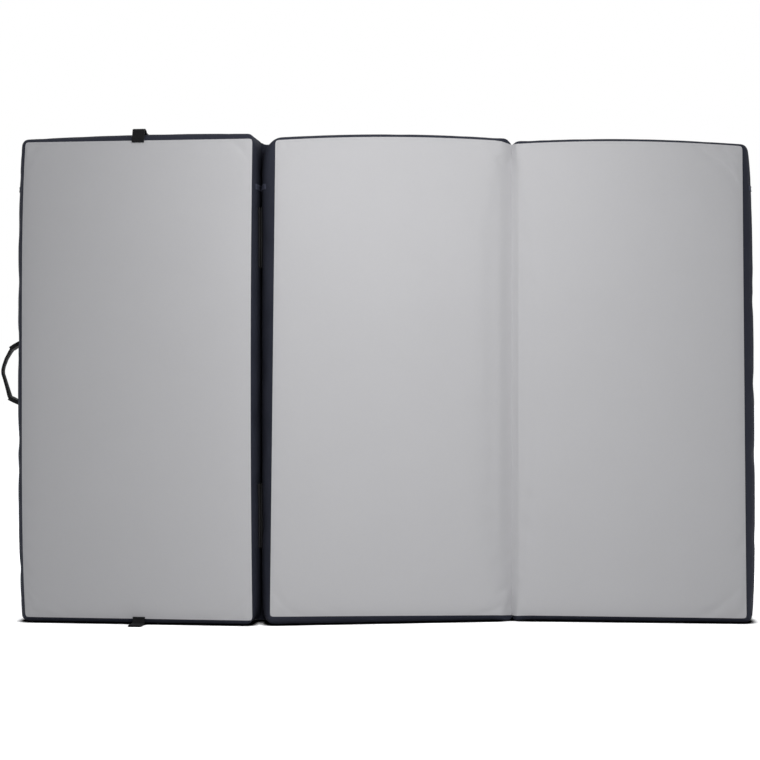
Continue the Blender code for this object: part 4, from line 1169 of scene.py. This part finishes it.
def patch(node, x, z, width=PATCH_SIDE, height=PATCH_SIDE):
    """A reinforcing cloth with a turned hem and two rows of stitches."""
    piece = sewn_cloth(node + "_cloth", right, "back", (x, z), (width, height), PATCH, base_nylon, HEM_RISE)
    dress(piece, "right_panel", [node])
    rows = [ring_row((x, z), (width, height), inset) for inset in (0.0028, 0.0072)]
    sew_flat(node + "_stitches", right, "back", piece, rows, slate_thread)
    return piece


def harness_webbing(node, route, box=None, width=WEBBING, across=(1, 0, 0), step=0.008, kind="webbing"):
    """A webbing along its route, with a box stitch (middle, size, inset) where it is sewn down."""
    piece = tape(f"{node}_{kind}", right, set_closer(route, step, 1), width, WEB_THICK, across, black_webbing)
    dress(piece, "right_panel", [node])
    if box:
        sew_flat(node + "_stitches", right, "back", piece, crossed_box(*box), slate_thread)


def wrap(bar, radius, axis, out, steps=8):
    """Points half round a bar, in the plane of axis and out."""
    return [bar + out * radius * math.cos(math.pi * k / steps) + axis * radius * math.sin(math.pi * k / steps)
            for k in range(steps + 1)]


def wrap_radius(long, thick):
    return (math.hypot(long, thick) / 2 + GAP + WEB_THICK / 2) / math.cos(math.pi / 8)


yoke = patch("shoulder_yoke", right.middle, YOKE_MIDDLE, YOKE_WIDTH, YOKE_HEIGHT)


def strap_centre(x, sign, z):
    """The middle line of a shoulder strap, which sweeps outwards between its ends."""
    share = max(0.0, min(1.0, (z - STRAP_BOTTOM) / STRAP_LENGTH))
    return x + sign * STRAP_SWEEP * math.sin(math.pi * share)


def strap_point(x, sign, u, v, w):
    """Where a point of the unit block lies on a padded shoulder strap."""
    top = STRAP_TOP + ONTO_YOKE
    z = STRAP_BOTTOM + (top - STRAP_BOTTOM) * w
    from_bottom = z - STRAP_BOTTOM
    wide = STRAP_WIDTH * (1 - 0.35 * max(0.0, 1 - from_bottom / STRAP_TAPER) ** 1.5)
    dp, dq = round_corner(wide / 2 * (1 - abs(2 * u - 1)), min(from_bottom, top - z), STRAP_CORNER)
    p = math.copysign(wide / 2 - dp, u - 0.5)
    if min(from_bottom, top - z) < STRAP_CORNER:
        z = STRAP_BOTTOM + dq if from_bottom < top - z else top - dq
    across = 2 * abs(p) / wide
    end = min(1.0, 0.55 + from_bottom / 0.05, 0.30 + max(0.0, top - z) / 0.045)
    full = (1 - across ** 3.2) ** 0.5 if across < 1 else 0.0
    from_line = abs(p) - QUILT_LINE
    quilt = QUILT_DEPTH * math.exp(-(from_line / 0.0022) ** 2)
    ripple = 0.0005 * math.sin(z * 610 + 3 * p / wide) * math.exp(-(from_line / 0.006) ** 2)
    height = STRAP_EDGE + (STRAP_THICKNESS - STRAP_EDGE) * full * end - quilt * end + ripple
    under = on_face(right, "back", strap_centre(x, sign, z) + p, z, 0.0003, (yoke,))
    edge = 0.0012 * (1 - full)
    return under + BACK * (edge + (height - 2 * edge) * v)


def shoulder_strap(word, sign):
    """A padded strap in its mesh, with the piping round its rim and the two quilting rows."""
    x = right.middle + sign * STRAP_SPREAD / 2
    node = f"shoulder_strap_{word}"
    pad = unit_block(node + "_pad", strap_mesh, ((0, 27), (1, 3), (2, 79)))
    for vertex in pad.data.vertices:
        vertex.co = strap_point(x, sign, *vertex.co)
    measure_cloth(pad)
    settle(pad, right)
    smooth(pad, 60)
    dress(pad, "right_panel", [node])
    bpy.context.view_layer.update()
    rim = [(0, w) for w in rows_of(0)] + [(u, 1) for u in rows_of(0, 16)[1:]]
    rim += [(1, 1 - w) for w in rows_of(0)[1:]] + [(1 - u, 0) for u in rows_of(0, 16)[1:-1]]
    places = []
    for u, w in rim:
        spot = strap_point(x, sign, u, 0.5, w)
        if not places or (spot - places[-1]).length > 0.001:
            places.append(spot)
    binding = thread_through(node + "_piping", places)
    binding.data.bevel_depth = 0.0022
    binding.data.bevel_resolution = 3
    binding.data.splines[0].use_cyclic_u = True
    pick(binding)
    bpy.ops.object.convert(target="MESH")
    binding = name_piece(node + "_piping", base_nylon)
    measure_cloth(binding)
    settle(binding, right)
    smooth(binding, 60)
    dress(binding, "right_panel")
    heights = [STRAP_BOTTOM + 0.014 + (STRAP_LENGTH - 0.012) * k / 69 for k in range(70)]
    rows = [[(strap_centre(x, sign, z) + shift, z) for z in heights] for shift in (-QUILT_LINE, QUILT_LINE)]
    sew_flat(node + "_stitches", right, "back", pad, rows, slate_thread)
    return x, pad


for word, sign in (("left", -1), ("right", 1)):
    x, pad = shoulder_strap(word, sign)
    lock_z = STRAP_BOTTOM - LOCK_DROP
    turn = wrap_radius(LOCK_BAR, LOCK_THICKNESS)
    lift = right.back_y(x, STRAP_BOTTOM) + GAP + WEB_THICK / 2 + turn
    start, end = YOKE_MIDDLE + 0.012, STRAP_BOTTOM + 0.008
    route = []
    for k in range(27):
        z = start - (start - end) * k / 26
        centre = strap_centre(x, sign, z)
        route.append(on_face(right, "back", centre, z, WEB_THICK / 2 + 0.0003, (pad, yoke)))
    top_bar = Vector((x, lift, lock_z + LOCK_BAR + LOCK_SLOT))
    route += [Vector((x, lift + turn, STRAP_BOTTOM - 0.008))] + wrap(top_bar, turn, DOWN, BACK)
    route += [Vector((x, lift - turn * 0.9, STRAP_BOTTOM - 0.006)),
              Vector((x, lift - turn * 0.7, STRAP_BOTTOM + 0.008))]
    box = ((x, YOKE_MIDDLE - 0.004), (WEBBING, 0.026), 0.0025)
    harness_webbing(f"lock_loop_{word}", route, box, step=0.010)

    anchor = patch(f"anchor_patch_{word}", x, ANCHOR_HEIGHT)
    route = [on_face(right, "back", x, z, WEB_THICK / 2 + 0.0003, (anchor,))
             for z in (ANCHOR_HEIGHT - SEWN_END, ANCHOR_HEIGHT, ANCHOR_HEIGHT + 0.015, ANCHOR_HEIGHT + 0.034)]
    route += [Vector((x, lift - turn, lock_z - WEB_RETURN)), Vector((x, lift - turn, lock_z - 0.010))]
    route += wrap(Vector((x, lift, lock_z)), turn, UP, -BACK)
    route += [Vector((x, lift + turn + out, lock_z - down))
              for out, down in ((0.0, 0.012), (0.0012, 0.035), (-0.0006, 0.060), (-0.0022, WEB_TAIL))]
    box = ((x, ANCHOR_HEIGHT + 0.003), (WEBBING, 0.028), 0.0025)
    harness_webbing(f"adjusting_webbing_{word}", route, box, kind="tape")

# The waist belt
BELT_HEIGHT, BELT_EDGE, BELT_RETURN = 0.275, 0.060, 0.034
SOCKET_LENGTH, SOCKET_THICKNESS, TONGUE_BASE = 0.046, 0.0125, 0.017
BUCKLE_BAR, BAR_THICKNESS = 0.0034, 0.0040
buckle_y = right.back_y(right.middle, BELT_HEIGHT) + GAP + SOCKET_THICKNESS / 2
mouth = right.middle + SOCKET_LENGTH / 2
for word, side, bar_x, edge in (
    ("left", -1, mouth - SOCKET_LENGTH + BUCKLE_BAR / 2, right.low + BELT_EDGE),
    ("right", 1, mouth + GAP + TONGUE_BASE - BUCKLE_BAR / 2, right.high - BELT_EDGE),
):
    anchor = patch(f"belt_patch_{word}", edge, BELT_HEIGHT)
    turn = wrap_radius(BUCKLE_BAR, BAR_THICKNESS)
    far = bar_x + side * BELT_RETURN
    start, end = edge + side * 0.2 * PATCH_SIDE, far + side * 0.006
    route = []
    for k in range(15):
        slack = 0.0009 * math.sin(3 * math.pi * k / 14) ** 2
        route.append(on_face(right, "back", start + (end - start) * k / 14, BELT_HEIGHT,
                             WEB_THICK / 2 + 0.0003 + slack, (anchor,)))
    bar = Vector((bar_x, buckle_y, BELT_HEIGHT))
    route += [Vector((bar_x + side * turn * 2, buckle_y - turn, BELT_HEIGHT))]
    route += wrap(bar, turn, Vector((-side, 0, 0)), -BACK)
    route += [Vector((far, buckle_y + turn, BELT_HEIGHT))]
    box = ((edge - side * 0.003, BELT_HEIGHT), (0.036, BELT), 0.003)
    harness_webbing(f"waist_belt_{word}", route, box, BELT, (0, 0, 1), 0.010)

# The closure straps
HOOK_WIRE, FOLD_RADIUS, STRAP_RETURN = 0.0022, 0.0018, 0.040
CLOSURE_TOP, CLOSURE_DROP, CLOSURE_BOTTOM, CLOSURE_FOLD = 0.952, 0.300, 0.105, 0.105
x = right.middle
turn = (HOOK_WIRE + GAP + WEB_THICK / 2) / math.cos(math.pi / 8)
over_patch = GAP * 2 + PATCH + WEB_THICK / 2
over_yoke = right.back_y(x, HEIGHT / 2) + over_patch + WEB_THICK / 2
anchor = patch("upper_closure_patch", x, CLOSURE_TOP - PATCH_SIDE / 3)
bar = Vector((x, over_yoke + turn + GAP + WEB_THICK / 2, CLOSURE_TOP - CLOSURE_DROP))
route = [on_face(right, "back", x, z, WEB_THICK / 2 + 0.0004, (anchor, yoke))
         for z in (CLOSURE_TOP, 0.940, 0.925, 0.910, 0.897, 0.880, 0.865,
                   0.855, 0.840, 0.820, 0.800, 0.780, 0.766)]
route += [Vector((x, over_yoke, 0.745)), Vector((x, bar.y - turn, bar.z + STRAP_RETURN)),
          Vector((x, bar.y - turn, bar.z + turn * 2))]
route += wrap(bar, turn, DOWN, -BACK) + [Vector((x, bar.y + turn, bar.z + STRAP_RETURN * 0.9))]
harness_webbing("upper_closure_strap", route, ((x, CLOSURE_TOP - 0.018), (WEBBING, 0.030), 0.0025))

anchor = patch("lower_closure_patch", x, CLOSURE_BOTTOM + PATCH_SIDE * 0.3)
fold_z = CLOSURE_BOTTOM + CLOSURE_FOLD
low = right.back_y(x, fold_z) + over_patch
bar = Vector((x, low + 2 * FOLD_RADIUS + turn, CLOSURE_BOTTOM + PATCH_SIDE / 3))
route = [Vector((x, right.back_y(x, z) + over_patch, z))
         for z in (CLOSURE_BOTTOM + (CLOSURE_FOLD - FOLD_RADIUS) * k / 8 for k in range(9))]
for k in range(1, 7):
    angle = math.pi * k / 6
    around = Vector((0, 1 - math.cos(angle), math.sin(angle)))
    route.append(Vector((x, low, fold_z)) + around * FOLD_RADIUS)
route += [Vector((x, bar.y - turn, bar.z + turn * 2))] + wrap(bar, turn, DOWN, -BACK)
route += [Vector((x, bar.y + turn, bar.z + STRAP_RETURN * 0.75))]
harness_webbing("lower_closure_strap", route)


# Camera, floor and light

def seen_rays(tree):
    """1 for rays from the camera, also by way of gloss or glass."""
    rays = add_node(tree, "LightPath").outputs
    either = arithmetic(tree, "MAXIMUM", rays["Is Camera Ray"], rays["Is Glossy Ray"])
    return arithmetic(tree, "MAXIMUM", either, rays["Is Transmission Ray"])


def blank_tree(owner):
    owner.use_nodes = True
    owner.node_tree.nodes.clear()
    return owner.node_tree


def show_apart(tree, output, for_light, for_eye):
    """Let one shader light the pad and another meet the camera."""
    mix = add_node(tree, "MixShader", Fac=seen_rays(tree))
    give(tree, mix.inputs[1], for_light.outputs[0])
    give(tree, mix.inputs[2], for_eye.outputs[0])
    add_node(tree, output, Surface=mix.outputs[0])


def studio():
    world = bpy.data.worlds.new("studio")
    bpy.context.scene.world = world
    tree = blank_tree(world)
    way = add_node(tree, "SeparateXYZ", Vector=add_node(tree, "TexCoord").outputs["Generated"])
    from_behind = arithmetic(tree, "MULTIPLY", way.outputs["Y"], 0.24)
    strength = arithmetic(tree, "SUBTRACT", 0.42, from_behind)
    for_light = add_node(tree, "Background", Color=(0.98, 0.99, 1.0, 1), Strength=strength)
    for_eye = add_node(tree, "Background", Color=(1, 1, 1, 1), Strength=1.0)
    show_apart(tree, "OutputWorld", for_light, for_eye)

    material = bpy.data.materials.new("white_floor")
    tree = blank_tree(material)
    # The floor's colour for the camera is darkened by ambient occlusion where it meets the pad: a painted
    # contact shadow.
    near = add_node(tree, "AmbientOcclusion", Distance=0.018)
    clear_of = arithmetic(tree, "SUBTRACT", arithmetic(tree, "MULTIPLY", near.outputs["AO"], 2.0), 1.0)
    painted_contact_shadow = arithmetic(tree, "POWER", arithmetic(tree, "MAXIMUM", clear_of, 0.0), 1.2)
    for_light = add_node(tree, "BsdfDiffuse", Color=(0.55, 0.55, 0.55, 1))
    for_eye = add_node(tree, "BsdfDiffuse", Color=arithmetic(tree, "MULTIPLY", painted_contact_shadow, 2.9))
    show_apart(tree, "OutputMaterial", for_light, for_eye)
    start_piece()
    bpy.ops.mesh.primitive_plane_add(size=60, location=(0, 0, 0))
    floor = bpy.context.object
    floor.name = "studio_floor"
    floor.data.materials.append(material)

    softbox("overhead_softbox", (0.03, -0.46, 1.08), (0, 0, 0.90), (1.0, 0.8), 2.3)
    softbox("front_softbox", (0.10, -1.25, 0.30), (0, 0, 0.45), (0.7, 0.5), 5.6)
    softbox("rear_softbox", (0.10, 2.20, 0.90), (0, 0, 0.45), (1.6, 1.2), 13.0)

    camera = bpy.data.cameras.new("camera")
    camera.lens = 80
    camera.sensor_width = 36
    eye = bpy.data.objects.new("camera", camera)
    eye.location = (-0.0141, -3.498, 0.4984)
    eye.rotation_euler = (math.radians(90), 0, 0)
    bpy.context.scene.collection.objects.link(eye)
    bpy.context.scene.camera = eye
    bpy.context.scene.view_settings.view_transform = "Standard"


def softbox(name, place, aim, size, energy):
    lamp = bpy.data.lights.new(name, "AREA")
    lamp.shape = "RECTANGLE"
    lamp.size, lamp.size_y = size
    lamp.energy = energy
    lamp.color = (1.0, 0.99, 0.97)
    holder = bpy.data.objects.new(name, lamp)
    holder.location = place
    holder.rotation_euler = (Vector(aim) - holder.location).to_track_quat("-Z", "Y").to_euler()
    holder.visible_camera = False
    holder.visible_glossy = False
    bpy.context.scene.collection.objects.link(holder)


studio()
